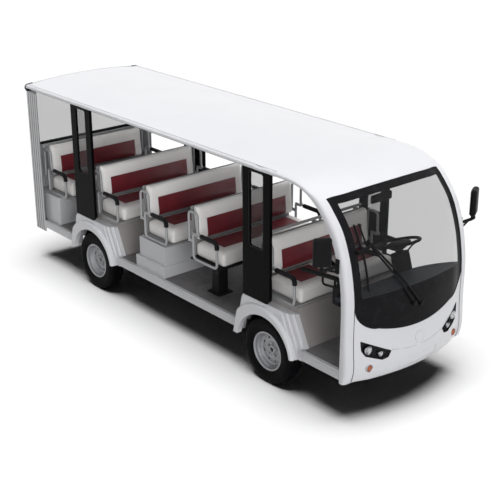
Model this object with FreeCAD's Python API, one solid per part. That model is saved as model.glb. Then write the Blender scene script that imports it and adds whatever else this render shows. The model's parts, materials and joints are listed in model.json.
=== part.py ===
import FreeCAD, Part
import math
import os

"""Electric sightseeing vehicle with five forward-facing bench rows under one roof.

Frame in millimetres: X forward, Y to the vehicle's left, Z up. The origin is on the
ground at the middle of the vehicle's length and width. Each function below makes one
sub-part, and the last section writes one STEP file for each of them.
"""

V = FreeCAD.Vector

# ---- driving dimensions ---------------------------------------------------------------
HALF_LENGTH = 2512.0
SIDE_Y = 730.0               # outer side of the body panels
WHEELBASE = 2704.0
FRONT_AXLE_X = 1415.0
REAR_AXLE_X = FRONT_AXLE_X - WHEELBASE
TYRE_R = 304.0
FENDER_IN_Y = 634.0
FENDER_REAR = -408.0         # lower ends of a fender, from its axle
FENDER_FRONT = 440.0
FENDER_FOOT = 362.0
TYRE_WIDTH = 165.0
TYRE_OUTER_Y = 734.0
TYRE_Y = TYRE_OUTER_Y - TYRE_WIDTH / 2
RIM_R = 165.0
WHEEL_SIDES = {"right": -1.0, "left": 1.0}

FLOOR_TOP = 475.0
FLOOR_T = 16.0
FLOOR_BOTTOM = FLOOR_TOP - FLOOR_T
FLOOR_HALF_W = 692.0
SILL_BOTTOM = 395.0
RAIL_BOTTOM = 389.0          # ladder frame under the deck
RAIL_Y = 290.0
RAIL_HALF_W = 40.0
SKIN = 5.0                   # moulded roof, nose and fenders
PILLAR_T = 34.0              # windscreen pillars and the roof's side edges
WALL_T = 6.0                 # seat bases
ROOF_EDGE_Z = 1920.0
SEAM_Y = 650.0               # where the pillars meet the nose and the windscreen

SEAT_ROWS = {1: 1665.0, 2: 632.0, 3: -135.0, 4: -962.0, 5: -1942.0}   # front tube of each row
STAND_ROW = 2
SEAT_HALF_W = 600.0
SEAT_Z = 800.0               # underside of the seat cushions
PAN_T = 16.0
BASE_TOP = SEAT_Z - PAN_T
CUSHION_T = 148.0
LOOP_Y = 640.0
TUBE_R = 12.5

SPRING_HALF = 330.0
SPRING_EYE_Z = 372.0
SPRING_SEAT_Z = 336.0
TOW_HOLE_Z = 300.0

KINGPIN_Y = 550.0
STEERING_HUB = V(1975.0, 265.0, 1232.0)
COLUMN_TILT_DEG = 72.0       # steering axis above the horizontal
STEERING_R = 192.0


# ---- helpers --------------------------------------------------------------------------
def largest(shape):
    """The biggest solid of a cut shape."""
    return max(shape.Solids, key=lambda solid: solid.Volume)


def box(x0, x1, y0, y1, z0, z1):
    """Box between two corners."""
    return Part.makeBox(x1 - x0, y1 - y0, z1 - z0, V(x0, y0, z0))


def mirrored(shape):
    """The same shape on the vehicle's other side."""
    return shape.mirror(V(0, 0, 0), V(0, 1, 0))


def both_sides(shape):
    """One shape and its mirror image as separate solids of one sub-part."""
    return Part.makeCompound([shape, mirrored(shape)])


def fused(shapes):
    """One solid from overlapping or touching shapes."""
    whole = shapes[0].multiFuse(shapes[1:]) if len(shapes) > 1 else shapes[0]
    return whole.removeSplitter()


def prism_y(points, y0, y1):
    """Side-view outline of (x, z) points carried from y0 to y1."""
    wire = Part.makePolygon([V(x, y0, z) for x, z in points + points[:1]])
    return Part.Face(wire).extrude(V(0, y1 - y0, 0))


def prism_x(points, x0, x1):
    """Front-view outline of (y, z) points carried from x0 to x1."""
    wire = Part.makePolygon([V(x0, y, z) for y, z in points + points[:1]])
    return Part.Face(wire).extrude(V(x1 - x0, 0, 0))


def prism_z(points, z0, z1):
    """Plan outline of (x, y) points carried from z0 to z1."""
    wire = Part.makePolygon([V(x, y, z0) for x, y in points + points[:1]])
    return Part.Face(wire).extrude(V(0, 0, z1 - z0))


def rounded_box(x0, x1, y0, y1, z0, z1, r, direction=None):
    """Box with all edges rounded, or only those along one direction."""
    solid = box(x0, x1, y0, y1, z0, z1)
    edges = solid.Edges
    if direction is not None:
        edges = [e for e in edges if abs(e.tangentAt(e.FirstParameter).dot(direction)) > 0.99]
    return solid.makeFillet(r, edges)


def tube(points, radius, bend):
    """Round bar along straight runs joined by tangent arcs of radius bend."""
    edges = []
    start = points[0]
    for before, corner, after in zip(points, points[1:], points[2:]):
        a = (before - corner).normalize()
        b = (after - corner).normalize()
        half = a.getAngle(b) / 2
        cut = bend / math.tan(half)
        p = corner + a * cut
        q = corner + b * cut
        middle = corner + (a + b).normalize() * (bend / math.sin(half) - bend)
        edges.append(Part.makeLine(start, p))
        edges.append(Part.Arc(p, middle, q).toShape())
        start = q
    edges.append(Part.makeLine(start, points[-1]))
    path = Part.Wire(edges)
    along = (points[1] - points[0]).normalize()
    ring = Part.Wire([Part.makeCircle(radius, points[0], along)])
    return path.makePipeShell([ring], True, False)


def turned(shape, centre, axis, degrees):
    """Copy of a shape turned about a line."""
    copy = shape.copy()
    copy.rotate(centre, axis, degrees)
    return copy


def disc_y(x, z, radius, y0, y1):
    """Cylinder across the vehicle from y0 to y1."""
    return Part.makeCylinder(radius, y1 - y0, V(x, y0, z), V(0, 1, 0))


def turn_profile_y(profile, centre):
    """Ring turned about a cross-axis through centre, from (radius, y) points."""
    points = [V(centre.x + r, y, centre.z) for r, y in profile]
    face = Part.Face(Part.makePolygon(points + points[:1]))
    return face.revolve(centre, V(0, 1, 0), 360)


# ---- body shell -----------------------------------------------------------------------
# Stations of the moulded shell from the straight roof to the foot of the nose. Each one
# gives (x, z) at the side edge, at the seam line and on the centre line.
ROOF_TAIL_X = -2500.0
PILLAR_HEAD_Z = 1845.0       # joint between the pillars and the roof
INDICATOR_Y = 515.0
INDICATOR_Z = 480.0
INDICATOR_R = 30.0
SHELL_STATIONS = [
    ((1240, 1920), (1240, 1955), (1240, 1990)),
    ((1370, 1920), (1370, 1955), (1370, 1990)),
    ((1500, 1920), (1500, 1955), (1510, 1990)),
    ((1630, 1919), (1632, 1952), (1660, 1988)),
    ((1755, 1908), (1768, 1939), (1810, 1973)),
    ((1880, 1868), (1900, 1899), (1955, 1938)),
    ((1985, 1799), (2019, 1845), (2095, 1878)),
    ((2075, 1710), (2120, 1749), (2215, 1776)),
    ((2150, 1605), (2208, 1640), (2310, 1660)),
    ((2208, 1490), (2269, 1515), (2378, 1524)),
    ((2250, 1365), (2314, 1383), (2427, 1386)),
    ((2279, 1235), (2344, 1247), (2459, 1248)),
    ((2296, 1105), (2364, 1112), (2478, 1112)),
    ((2302, 980), (2371, 982), (2485, 982)),
    ((2303, 855), (2371, 855), (2486, 855)),
    ((2303, 735), (2372, 735), (2488, 735)),
    ((2303, 620), (2378, 620), (2501, 620)),
    ((2303, 520), (2385, 520), (2512, 520)),
    ((2303, 435), (2378, 435), (2502, 435)),
    ((2303, 363), (2356, 363), (2470, 363)),
]
TIGHT_ROLL = 20.0            # a thicker wall has a straight inner side across the rolled edge
SIDE_ROLL = ((1.0, 0.0), (1.0, 0.28), (0.93, 0.66), (0.62, 0.93))   # shares of Y and of rise


def shell_row(side, seam, middle):
    """Points of one station, from the side edge to the centre line."""
    row = []
    depth = SIDE_Y - SEAM_Y
    for out, rise in SIDE_ROLL:
        x = side[0] + (seam[0] - side[0]) * rise
        z = side[1] + (seam[1] - side[1]) * rise
        row.append((SEAM_Y + depth * out, x, z))
    for share in (1.0, 0.8, 0.6, 0.4, 0.2, 0.0):
        bulge = 1 - share * share
        x = seam[0] + (middle[0] - seam[0]) * bulge
        z = seam[1] + (middle[1] - seam[1]) * bulge
        row.append((SEAM_Y * share, x, z))
    return row


def straightened(line):
    """A row whose rolled ends are drawn straight from the edge to the seam."""
    last = len(SIDE_ROLL)
    for start, end in ((0, last), (len(line) - 1, len(line) - 1 - last)):
        step = 1 if end > start else -1
        for k in range(1, last):
            line[start + step * k] = line[start] + (line[end] - line[start]) * (k / last)
    return line


def shell_grid(inset):
    """Rows of points over the whole shell, offset inwards along its normals."""
    rows = []
    for side, seam, middle in SHELL_STATIONS:
        half = shell_row(side, seam, middle)
        right = [V(x, -y, z) for y, x, z in half]
        left = [V(x, y, z) for y, x, z in half[-2::-1]]
        rows.append(right + left)
    if inset == 0:
        return rows
    moved = []
    for i, row in enumerate(rows):
        ahead = rows[min(i + 1, len(rows) - 1)]
        behind = rows[max(i - 1, 0)]
        line = []
        for j, point in enumerate(row):
            along = ahead[j] - behind[j]
            across = row[min(j + 1, len(row) - 1)] - row[max(j - 1, 0)]
            normal = across.cross(along).normalize()
            line.append(point + normal * inset)
        moved.append(line if inset < TIGHT_ROLL else straightened(line))
    return moved


def skin_face(rows):
    """Smooth face through a grid of points."""
    surface = Part.BSplineSurface()
    surface.interpolate(rows)
    return surface.toShape()


def closed_skin(outer, inner):
    """Solid between two like faces, closed by ruled faces along their edges."""
    faces = [outer, inner]
    for a, b in zip(outer.Edges, inner.Edges):
        faces.append(Part.makeRuledSurface(a, b))
    solid = Part.Solid(Part.Shell(faces))
    if solid.Volume < 0:
        solid.reverse()
    return solid


def shell_layer(depth_out, depth_in):
    """Part of the shell's wall between two depths, on the curved front only."""
    return closed_skin(skin_face(shell_grid(depth_out)), skin_face(shell_grid(depth_in)))


def body_shell(thickness):
    """Whole moulded shell, from the tail of the roof to the foot of the nose."""
    front = shell_layer(0, thickness)
    start_x = SHELL_STATIONS[0][0][0]
    section = [f for f in front.Faces if f.BoundBox.XMax < start_x + 1][0]
    straight = section.extrude(V(ROOF_TAIL_X - start_x, 0, 0))
    return front.fuse(straight)


def outer_sides():
    """Space outboard of the two seam planes."""
    left = box(-3000, 3000, SEAM_Y, 900, 0, 2100)
    return Part.makeCompound([left, mirrored(left)])


def station_x(column, z):
    """X of the shell at a height, along the seam (column 1) or the centre line (column 2)."""
    points = [row[column] for row in SHELL_STATIONS]
    for (x0, z0), (x1, z1) in zip(points, points[1:]):
        if z0 > z >= z1:
            return x0 + (x1 - x0) * (z0 - z) / (z0 - z1)
    return points[-1][0]


def screen_x(y, z):
    """X of the windscreen's or the nose's outer surface at a point of the front view."""
    seam = station_x(1, z)
    middle = station_x(2, z)
    return seam + (middle - seam) * (1 - (y / SEAM_Y) ** 2)


def windscreen_outline():
    """Front-view outline of the black band: crowned head, straight sides, bowed foot."""
    head = [V(0, -SEAM_Y, 1845), V(0, 0, 1882), V(0, SEAM_Y, 1845)]
    foot = [V(0, 430, 812), V(0, 0, 752), V(0, -430, 812)]
    left_corner = [V(0, SEAM_Y, 1020), V(0, 588, 884), V(0, 430, 812)]
    right_corner = [V(0, -430, 812), V(0, -588, 884), V(0, -SEAM_Y, 1020)]
    return Part.Wire([
        Part.Arc(*head).toShape(),
        Part.makeLine(head[-1], left_corner[0]),
        Part.Arc(*left_corner).toShape(),
        Part.Arc(*foot).toShape(),
        Part.Arc(*right_corner).toShape(),
        Part.makeLine(right_corner[-1], head[0]),
    ])


def glass_outline():
    """Front-view outline of the clear glass inside the band."""
    return Part.Wire([
        Part.Arc(V(0, -582, 1806), V(0, 0, 1836), V(0, 582, 1806)).toShape(),
        Part.makeLine(V(0, 582, 1806), V(0, 582, 1090)),
        Part.Arc(V(0, 582, 1090), V(0, 0, 1108), V(0, -582, 1090)).toShape(),
        Part.makeLine(V(0, -582, 1090), V(0, -582, 1806)),
    ])


def forward_prism(wire):
    """Outline in the front view carried through the whole front of the vehicle."""
    return Part.Face(wire).extrude(V(1200, 0, 0)).translated(V(1600, 0, 0))


def roof_shell(shell, edges, screen):
    """Roof from the tail to the head of the windscreen, with thick side edges."""
    below = box(-3000, 3000, -900, 900, 0, PILLAR_HEAD_Z)
    top = fused([shell, edges])
    return top.cut(screen).cut(below)


def front_pillars(edges):
    """Rounded columns each side of the windscreen and the nose, one solid a side."""
    return edges.common(box(1600, 2600, -900, 900, 0, PILLAR_HEAD_Z))


def nose_groove(outline, depth):
    """Cutter that sinks a front-view outline into the nose by a small depth."""
    prism = Part.Face(outline).extrude(V(400, 0, 0)).translated(V(2250, 0, 0))
    return shell_layer(-8, depth).common(prism)


def crease_outline():
    """Front-view band of the crease that joins the headlamps' inner tips under the badge."""
    low = [V(0, -338, 604), V(0, 0, 560), V(0, 338, 604)]
    high = [V(0, 338, 611), V(0, 0, 566), V(0, -338, 611)]
    return Part.Wire([
        Part.Arc(*low).toShape(),
        Part.makeLine(low[-1], high[0]),
        Part.Arc(*high).toShape(),
        Part.makeLine(high[-1], low[0]),
    ])


def plate_outline():
    """Front-view outline of the blank plate recess."""
    corners = [V(0, -220, 404), V(0, 220, 404), V(0, 220, 482), V(0, -220, 482)]
    return Part.makePolygon(corners + corners[:1])


def front_cowl(shell, screen):
    """Nose panel under the windscreen: lamp openings, round boss, crease and plate recess."""
    region = box(1600, 2600, -SEAM_Y, SEAM_Y, 0, 1100)
    cowl = shell.common(region).cut(screen)
    for side in (-1, 1):
        cowl = cowl.cut(lamp_prism(side, 0))
        start = V(2250, side * INDICATOR_Y, INDICATOR_Z)
        cowl = cowl.cut(Part.makeCylinder(INDICATOR_R, 400, start, V(1, 0, 0)))
    boss = shell_layer(-3, 2).common(Part.makeCylinder(50, 400, V(2250, 0, 628), V(1, 0, 0)))
    cowl = fused([cowl, boss])
    return cowl.cut(nose_groove(crease_outline(), 2.5)).cut(nose_groove(plate_outline(), 2))


LAMP_OUTLINE = [(585, 722), (578, 640), (548, 592), (400, 535), (345, 545), (315, 590)]


def lamp_prism(side, inset):
    """Front-view wedge of a headlamp carried through the nose."""
    cy = sum(y for y, z in LAMP_OUTLINE) / len(LAMP_OUTLINE)
    cz = sum(z for y, z in LAMP_OUTLINE) / len(LAMP_OUTLINE)
    points = []
    for y, z in LAMP_OUTLINE:
        dist = math.hypot(y - cy, z - cz)
        scale = 1 - inset / dist
        points.append((side * (cy + (y - cy) * scale), cz + (z - cz) * scale))
    return prism_x(points, 2250, 2600)


def headlamps(shell):
    """Wedge lamp units: lens plate in the opening with two round reflectors behind."""
    units = []
    for side in (-1, 1):
        unit = shell.common(lamp_prism(side, 0))
        for y, z, r in ((528, 645, 40), (412, 588, 31)):
            rim_x = screen_x(y, z) - SKIN / 2
            unit = unit.fuse(Part.makeCone(r * 0.45, r, 62, V(rim_x - 62, side * y, z), V(1, 0, 0)))
        units.append(unit.removeSplitter())
    return Part.makeCompound(units)


def indicator_lamps():
    """Round amber lamps under the headlamps, each with a bevelled and rounded front."""
    x = screen_x(INDICATOR_Y, INDICATOR_Z)
    r = INDICATOR_R - 0.4
    barrel = Part.makeCylinder(r, 16, V(x - 18, INDICATOR_Y, INDICATOR_Z), V(1, 0, 0))
    bevel = Part.makeCone(r, r - 8, 14, V(x - 2, INDICATOR_Y, INDICATOR_Z), V(1, 0, 0))
    front = [e for e in bevel.Edges if e.CenterOfMass.x > x + 11]
    return both_sides(fused([barrel, bevel.makeFillet(5, front)]))


TAIL_CORNER_R = 45.0
TAIL_PILLAR_FRONT = -2285.0
TAIL_PILLAR_Z = (345.0, 1890.0)
TAIL_PILLAR_Y = 600.0        # inner edge of the corner panels across the tail


def tail_corner_plan(depth):
    """Plan edges of the corner panel at a depth in its wall, from front to inner edge."""
    x_back = -HALF_LENGTH + depth
    y_out = SIDE_Y - depth
    r = TAIL_CORNER_R - depth
    bend = r * (1 - math.sqrt(0.5))
    side_end = V(x_back + r, y_out, 0)
    tail_start = V(x_back, y_out - r, 0)
    return [V(TAIL_PILLAR_FRONT, y_out, 0), side_end, V(x_back + bend, y_out - bend, 0), tail_start,
            V(x_back, TAIL_PILLAR_Y, 0)]


def rear_corner_pillars():
    """Corner panels at the tail, with rounded flutes up their whole height."""
    wall_t = 9.0
    outer = tail_corner_plan(0)
    inner = tail_corner_plan(wall_t)
    plan = Part.Wire([
        Part.makeLine(outer[0], outer[1]),
        Part.Arc(*outer[1:4]).toShape(),
        Part.makeLine(outer[3], outer[4]),
        Part.makeLine(outer[4], inner[4]),
        Part.makeLine(inner[4], inner[3]),
        Part.Arc(*inner[3:0:-1]).toShape(),
        Part.makeLine(inner[1], inner[0]),
        Part.makeLine(inner[0], outer[0]),
    ])
    z0, z1 = TAIL_PILLAR_Z
    column = Part.Face(plan).extrude(V(0, 0, z1 - z0)).translated(V(0, 0, z0))
    flute_r = 11.0
    sunk = 5.0
    for x in (-2322, -2364, -2406, -2448):
        column = column.cut(Part.makeCylinder(flute_r, 2000, V(x, SIDE_Y + flute_r - sunk, 0), V(0, 0, 1)))
    for y in (668, 634):
        back = -HALF_LENGTH - flute_r + sunk
        column = column.cut(Part.makeCylinder(flute_r, 2000, V(back, y, 0), V(0, 0, 1)))
    return both_sides(column)


TAIL_WALL_X = -HALF_LENGTH + 4
LEDGE_Z = 1270.0
SEAL_TOP_Z = 1296.0


def rear_panel():
    """Lower tail wall with a plate recess, a pressed frame and a ledge under the window."""
    x = TAIL_WALL_X
    y = TAIL_PILLAR_Y
    wall = box(x, x + 10, -y, y, 363, LEDGE_Z)
    ledge = box(x, x + 60, -y, y, LEDGE_Z - 35, LEDGE_Z)
    hatch = rounded_box(x - 4, x + 4, -430, 430, 520, 1060, 3.5)
    recess = box(x - 9, x - 1, -235, 235, 600, 740)
    wall = fused([wall, ledge, hatch]).cut(recess)
    for side in (-1, 1):
        wall = wall.cut(tail_lamp(side))
    return wall


def tail_lamp(side):
    """Upright lamp block with rounded long edges."""
    y = side * 525
    return rounded_box(TAIL_WALL_X - 4, TAIL_WALL_X + 26, y - 52, y + 52, 660, 880, 9, V(1, 0, 0))


def tail_lamps():
    """Both lamp blocks of the tail wall."""
    return Part.makeCompound([tail_lamp(-1), tail_lamp(1)])


def window_panes():
    """Tinted panes of the side panels and the wide pane of the tail."""
    panes = []
    for x0, x1 in PANEL_SPANS:
        panes.append(window_prism(x0, x1, 708, 713))
    panes += [mirrored(p) for p in panes]
    x = TAIL_WALL_X + 4
    panes.append(box(x, x + 6, -TAIL_PILLAR_Y, TAIL_PILLAR_Y, SEAL_TOP_Z, TAIL_PILLAR_Z[1]))
    return Part.makeCompound(panes)


def tail_trims():
    """Black strip under the tail window, and the header that closes the roof's tail."""
    x = TAIL_WALL_X
    strip = box(x, x + 24, -TAIL_PILLAR_Y, TAIL_PILLAR_Y, LEDGE_Z, SEAL_TOP_Z)
    foot_z = TAIL_PILLAR_Z[1]
    top = [(max(-SEAM_Y + 1, min(SEAM_Y - 1, p.y)), p.z - 6) for p in shell_grid(SKIN)[0]
           if abs(p.y) < SEAM_Y + 5]
    left = [(SEAM_Y - 1, ROOF_EDGE_Z), (SIDE_Y, ROOF_EDGE_Z), (SIDE_Y, foot_z)]
    right = [(-y, z) for y, z in left[::-1]]
    header = prism_x(right + top + left, ROOF_TAIL_X + 2, ROOF_TAIL_X + 42)
    return Part.makeCompound([strip, header])


# ---- floor and frame ------------------------------------------------------------------
def wheel_wells(radius, y_inner):
    """Cylinders swept by the four wheels, for cutting."""
    cuts = []
    for x in (FRONT_AXLE_X, REAR_AXLE_X):
        for y0, y1 in ((y_inner, 900), (-900, -y_inner)):
            cuts.append(disc_y(x, TYRE_R, radius, y0, y1))
    return cuts


def floor_deck():
    """Flat deck with the four wheel openings cut and a rounded nose end."""
    y = FLOOR_HALF_W
    deck = box(TAIL_WALL_X + 10, 2290, -y, y, FLOOR_BOTTOM, FLOOR_TOP)
    nose_part = prism_z([(2290, -660), (2290, 660), (2340, 620), (2384, 500), (2446, 250), (2462, 0),
                         (2446, -250), (2384, -500), (2340, -620)], FLOOR_BOTTOM, FLOOR_TOP)
    deck = fused([deck, nose_part])
    for x in (FRONT_AXLE_X, REAR_AXLE_X):
        well = box(x - 338.5, x + 338.5, 388, 900, 400, 500)
        corner = box(x + FENDER_REAR, x + FENDER_FRONT, FENDER_IN_Y, 900, 400, 500)
        for cut in (well, corner):
            deck = deck.cut(cut).cut(mirrored(cut))
    return deck


SILL_SPANS = [(TAIL_PILLAR_FRONT, REAR_AXLE_X + FENDER_REAR),
              (REAR_AXLE_X + FENDER_FRONT, FRONT_AXLE_X + FENDER_REAR),
              (FRONT_AXLE_X + FENDER_FRONT, 2298)]


def side_sills():
    """Sill sections along both edges of the deck, between and beyond the fenders."""
    sills = []
    for x0, x1 in SILL_SPANS:
        outer = box(x0, x1, FLOOR_HALF_W, SIDE_Y, SILL_BOTTOM, FLOOR_TOP)
        edge = [e for e in outer.Edges if e.CenterOfMass.y > SIDE_Y - 1
                and abs(e.CenterOfMass.z - FLOOR_TOP) < 1]
        outer = outer.makeFillet(8, edge)
        groove = box(x0 - 1, x1 + 1, SIDE_Y - 3, SIDE_Y + 1, FLOOR_TOP - 20, FLOOR_TOP - 15)
        sills.append(outer.cut(groove))
    return Part.makeCompound(sills + [mirrored(s) for s in sills])


def tow_lug(x0, x1, hole_x):
    """Flat lug under the left rail with a round hole."""
    lug = box(x0, x1, RAIL_Y - 6, RAIL_Y + 6, 268, RAIL_BOTTOM)
    return lug.cut(disc_y(hole_x, TOW_HOLE_Z, 15, RAIL_Y - 20, RAIL_Y + 20))


def chassis_frame():
    """Welded ladder frame: two rails, cross members, sill outriggers, spring hangers, tow lugs."""
    y0, y1 = RAIL_Y - RAIL_HALF_W, RAIL_Y + RAIL_HALF_W
    rail = box(-2440, 2345, y0, y1, RAIL_BOTTOM, FLOOR_BOTTOM)
    members = [rail, mirrored(rail)]
    for x in (-2340, -1740, -760, 0, 720, 1950, 2250):
        members.append(box(x - 30, x + 30, -y0, y0, RAIL_BOTTOM + 10, FLOOR_BOTTOM))
    for x in (-2340, -1790, -760, 0, 720, 1950, 2250):
        outrigger = box(x - 20, x + 20, y1, FLOOR_HALF_W, 415, FLOOR_BOTTOM)
        members += [outrigger, mirrored(outrigger)]
    for axle_x in (FRONT_AXLE_X, REAR_AXLE_X):
        for end in (-SPRING_HALF, SPRING_HALF):
            x = axle_x + end
            for y in (RAIL_Y - 38, RAIL_Y + 32):
                top, foot = RAIL_BOTTOM + 6, SPRING_EYE_Z - 14
                hanger = prism_y([(x - 26, top), (x + 26, top), (x + 10, foot), (x - 10, foot)], y, y + 6)
                members += [hanger, mirrored(hanger)]
    members += [tow_lug(2262, 2332, 2300), tow_lug(-2457, -2395, -2425)]
    return fused(members)


def leaf(axle_x, half, z_mid, z_end, thickness, y0, y1):
    """One curved spring leaf, an arc strip over the axle."""
    low = Part.Arc(V(axle_x - half, y0, z_end), V(axle_x, y0, z_mid), V(axle_x + half, y0, z_end))
    high = Part.Arc(V(axle_x + half, y0, z_end + thickness), V(axle_x, y0, z_mid + thickness),
                    V(axle_x - half, y0, z_end + thickness))
    wire = Part.Wire([low.toShape(), Part.makeLine(V(axle_x + half, y0, z_end),
                                                   V(axle_x + half, y0, z_end + thickness)),
                      high.toShape(), Part.makeLine(V(axle_x - half, y0, z_end + thickness),
                                                    V(axle_x - half, y0, z_end))])
    return Part.Face(wire).extrude(V(0, y1 - y0, 0))


def leaf_springs():
    """Four springs of three leaves, rolled eyes at their ends and a clamp over each axle."""
    springs = []
    y0, y1 = RAIL_Y - 30, RAIL_Y + 30
    for axle_x in (FRONT_AXLE_X, REAR_AXLE_X):
        parts = []
        for k in range(3):
            half = SPRING_HALF - 75 * k
            rise = (SPRING_EYE_Z - 13 - SPRING_SEAT_Z) * (half / SPRING_HALF) ** 2
            z_mid = SPRING_SEAT_Z + 14 - 7 * k
            parts.append(leaf(axle_x, half, z_mid, z_mid + rise - 3, 7.2, y0, y1))
        for end in (-SPRING_HALF, SPRING_HALF):
            parts.append(disc_y(axle_x + end, SPRING_EYE_Z, 13, y0, y1))
        parts.append(box(axle_x - 55, axle_x + 55, y0 - 4, y1 + 4, SPRING_SEAT_Z, SPRING_SEAT_Z + 26))
        spring = fused(parts)
        springs += [spring, mirrored(spring)]
    return Part.makeCompound(springs)


def battery_box():
    """Traction battery in one tray hung from the rails under the middle of the deck."""
    return rounded_box(-620, 640, -345, 345, 240, RAIL_BOTTOM, 14, V(0, 0, 1))


# ---- fenders and wheel housings -------------------------------------------------------
ARCH_R = 345.0
ARCH_DX = -15.0
ARCH_Z = 300.0
FLARE_R = 425.0
FLARE_DX = -62.0
FLARE_ROLL = 26.0
FLARE_Y = 765.0


def cheek_x(z):
    """X, from the axle, of a fender's slanted front edge at a height."""
    top_x, top_z = 304.0, 745.0
    low_x, low_z = 433.0, FLOOR_TOP
    if z < low_z:
        return low_x + (FENDER_FRONT - low_x) * (low_z - z) / (low_z - FENDER_FOOT)
    return top_x + (low_x - top_x) * (top_z - z) / (top_z - low_z)


def fender_form(axle_x, depth):
    """Closed form of a fender at a depth in its wall: bevelled top, three-stepped front cheek."""
    top = 745.0 - depth
    foot = FENDER_FOOT if depth == 0 else FENDER_FOOT - 60
    y_in = FENDER_IN_Y if depth == 0 else FENDER_IN_Y - 40
    y_out = SIDE_Y - depth
    heights = [foot, FLOOR_TOP, top]
    front = [(axle_x + cheek_x(z) - depth, z) for z in heights]
    rear = [(axle_x - 325 + depth, top), (axle_x + FENDER_REAR + depth, foot)]
    form = prism_y(front + rear, y_in, y_out)
    bevel = prism_x([(y_out - 16, top + 1), (y_out + 2, top - 34), (y_out + 2, top + 1)],
                    axle_x - 500, axle_x + 500)
    form = form.cut(bevel)
    for back, y_step in ((122, SIDE_Y - 13), (76, SIDE_Y - 34), (30, SIDE_Y - 62)):
        strip = [(x - back, z) for x, z in front] + [(x + 60, z) for x, z in front[::-1]]
        form = form.cut(prism_y(strip, y_step - depth, SIDE_Y + 5))
    return form


def flare_form(axle_x, depth):
    """Crescent round the wheel opening at a depth in its wall, with a rolled outer edge."""
    outer = disc_y(axle_x + FLARE_DX, ARCH_Z, FLARE_R - depth, SIDE_Y - 16, FLARE_Y - depth)
    rim = [e for e in outer.Edges if e.CenterOfMass.y > FLARE_Y - depth - 1 and e.Closed]
    outer = outer.makeFillet(FLARE_ROLL - depth, rim)
    return outer.cut(disc_y(axle_x + ARCH_DX, ARCH_Z, ARCH_R + depth, 600, 900))


def flare(axle_x):
    """Hollow flared lip of one fender, open towards the wheel."""
    hollow = flare_form(axle_x, SKIN)
    hollow = fused([hollow, hollow.translated(V(0, -12, 0))])
    lip = flare_form(axle_x, 0).cut(hollow)
    limits = prism_y([(axle_x + FENDER_REAR, FENDER_FOOT), (axle_x - 330, 724), (axle_x + 500, 724),
                      (axle_x + 500, FENDER_FOOT)], 600, 900)
    return lip.common(limits)


def fender(axle_x):
    """Left fender over one wheel."""
    shell = fender_form(axle_x, 0).cut(fender_form(axle_x, SKIN))
    shell = shell.cut(disc_y(axle_x + ARCH_DX, ARCH_Z, ARCH_R + 6, 650, 900))
    return fused([shell, flare(axle_x)])


def fenders():
    """All four fenders."""
    left = [fender(FRONT_AXLE_X), fender(REAR_AXLE_X)]
    return Part.makeCompound(left + [mirrored(f) for f in left])


def wheel_housings():
    """Round inner tubs over the four wheels."""
    tubs = []
    for x in (FRONT_AXLE_X, REAR_AXLE_X):
        tub = disc_y(x, TYRE_R, 372, 388, 628).cut(disc_y(x, TYRE_R, 366, 392, 640))
        tub = tub.cut(box(x - 400, x + 400, 300, 800, -100, 385))
        tubs.append(tub)
    return Part.makeCompound(tubs + [mirrored(t) for t in tubs])


PANEL_SPANS = [(FRONT_AXLE_X - 325, FRONT_AXLE_X + 30), (REAR_AXLE_X - 325, REAR_AXLE_X + 30)]


# ---- seats ----------------------------------------------------------------------------
def wheel_seat_base(axle_x):
    """Raised base over one axle: sloping heel board, deck and rear board."""
    t = WALL_T
    outline = [(-372, FLOOR_TOP), (-372, BASE_TOP), (283, BASE_TOP), (433, FLOOR_TOP)]
    inner = [(-372 + t, FLOOR_TOP - 5), (-372 + t, BASE_TOP - t), (283 - t, BASE_TOP - t),
             (433 - t, FLOOR_TOP - 5)]
    shell = prism_y([(axle_x + x, z) for x, z in outline], -FENDER_IN_Y, FENDER_IN_Y)
    shell = shell.cut(prism_y([(axle_x + x, z) for x, z in inner], -FENDER_IN_Y + t, FENDER_IN_Y - t))
    for y0, y1 in ((384, 900), (-900, -384)):
        shell = shell.cut(disc_y(axle_x, TYRE_R, 374, y0, y1))
    return shell


def wheel_seat_bases():
    """Bases under the first and the fourth row."""
    return Part.makeCompound([wheel_seat_base(FRONT_AXLE_X), wheel_seat_base(REAR_AXLE_X)])


def stepped_box():
    """Closed base under the third row with a wider plinth."""
    front = SEAT_ROWS[3] + 5
    rear = front - 420
    upper = box(rear, front, -668, 668, FLOOR_TOP, BASE_TOP)
    plinth = box(rear - 35, front + 12, -FLOOR_HALF_W, FLOOR_HALF_W, FLOOR_TOP, 592)
    edges = [e for e in plinth.Edges if abs(e.CenterOfMass.z - 592) < 1]
    whole = fused([upper, plinth.makeFillet(7, edges)])
    inner = box(rear + WALL_T, front - WALL_T, -660, 660, FLOOR_TOP - 10, BASE_TOP - WALL_T)
    return whole.cut(inner)


def tail_box():
    """Closed base under the last row, against the tail wall, with a rounded front."""
    front = SEAT_ROWS[5] - 100
    rear = TAIL_WALL_X + 30
    whole = rounded_box(rear, front, -686, 686, FLOOR_TOP - 60, BASE_TOP, 22, V(0, 0, 1))
    whole = whole.cut(box(-3000, 0, -900, 900, 300, FLOOR_TOP))
    inner = box(rear + WALL_T, front - WALL_T, -680, 680, FLOOR_TOP - 10, BASE_TOP - WALL_T)
    return whole.cut(inner)


def seat_boxes():
    """Closed bases under the third and the last row."""
    return Part.makeCompound([stepped_box(), tail_box()])


def seat_cushion(row, y0, y1):
    """Bench cushion with rounded edges."""
    x0 = SEAT_ROWS[row] - 392
    x1 = SEAT_ROWS[row] + 34
    return rounded_box(x0, x1, y0, y1, SEAT_Z, SEAT_Z + CUSHION_T, 26)


def seat_cushions():
    """Two cushions in the first row, with the hand lever between them, and one in each other row."""
    pads = [seat_cushion(1, -SEAT_HALF_W, -60), seat_cushion(1, 60, SEAT_HALF_W)]
    pads += [seat_cushion(row, -SEAT_HALF_W, SEAT_HALF_W) for row in SEAT_ROWS if row > 1]
    return Part.makeCompound(pads)


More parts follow.
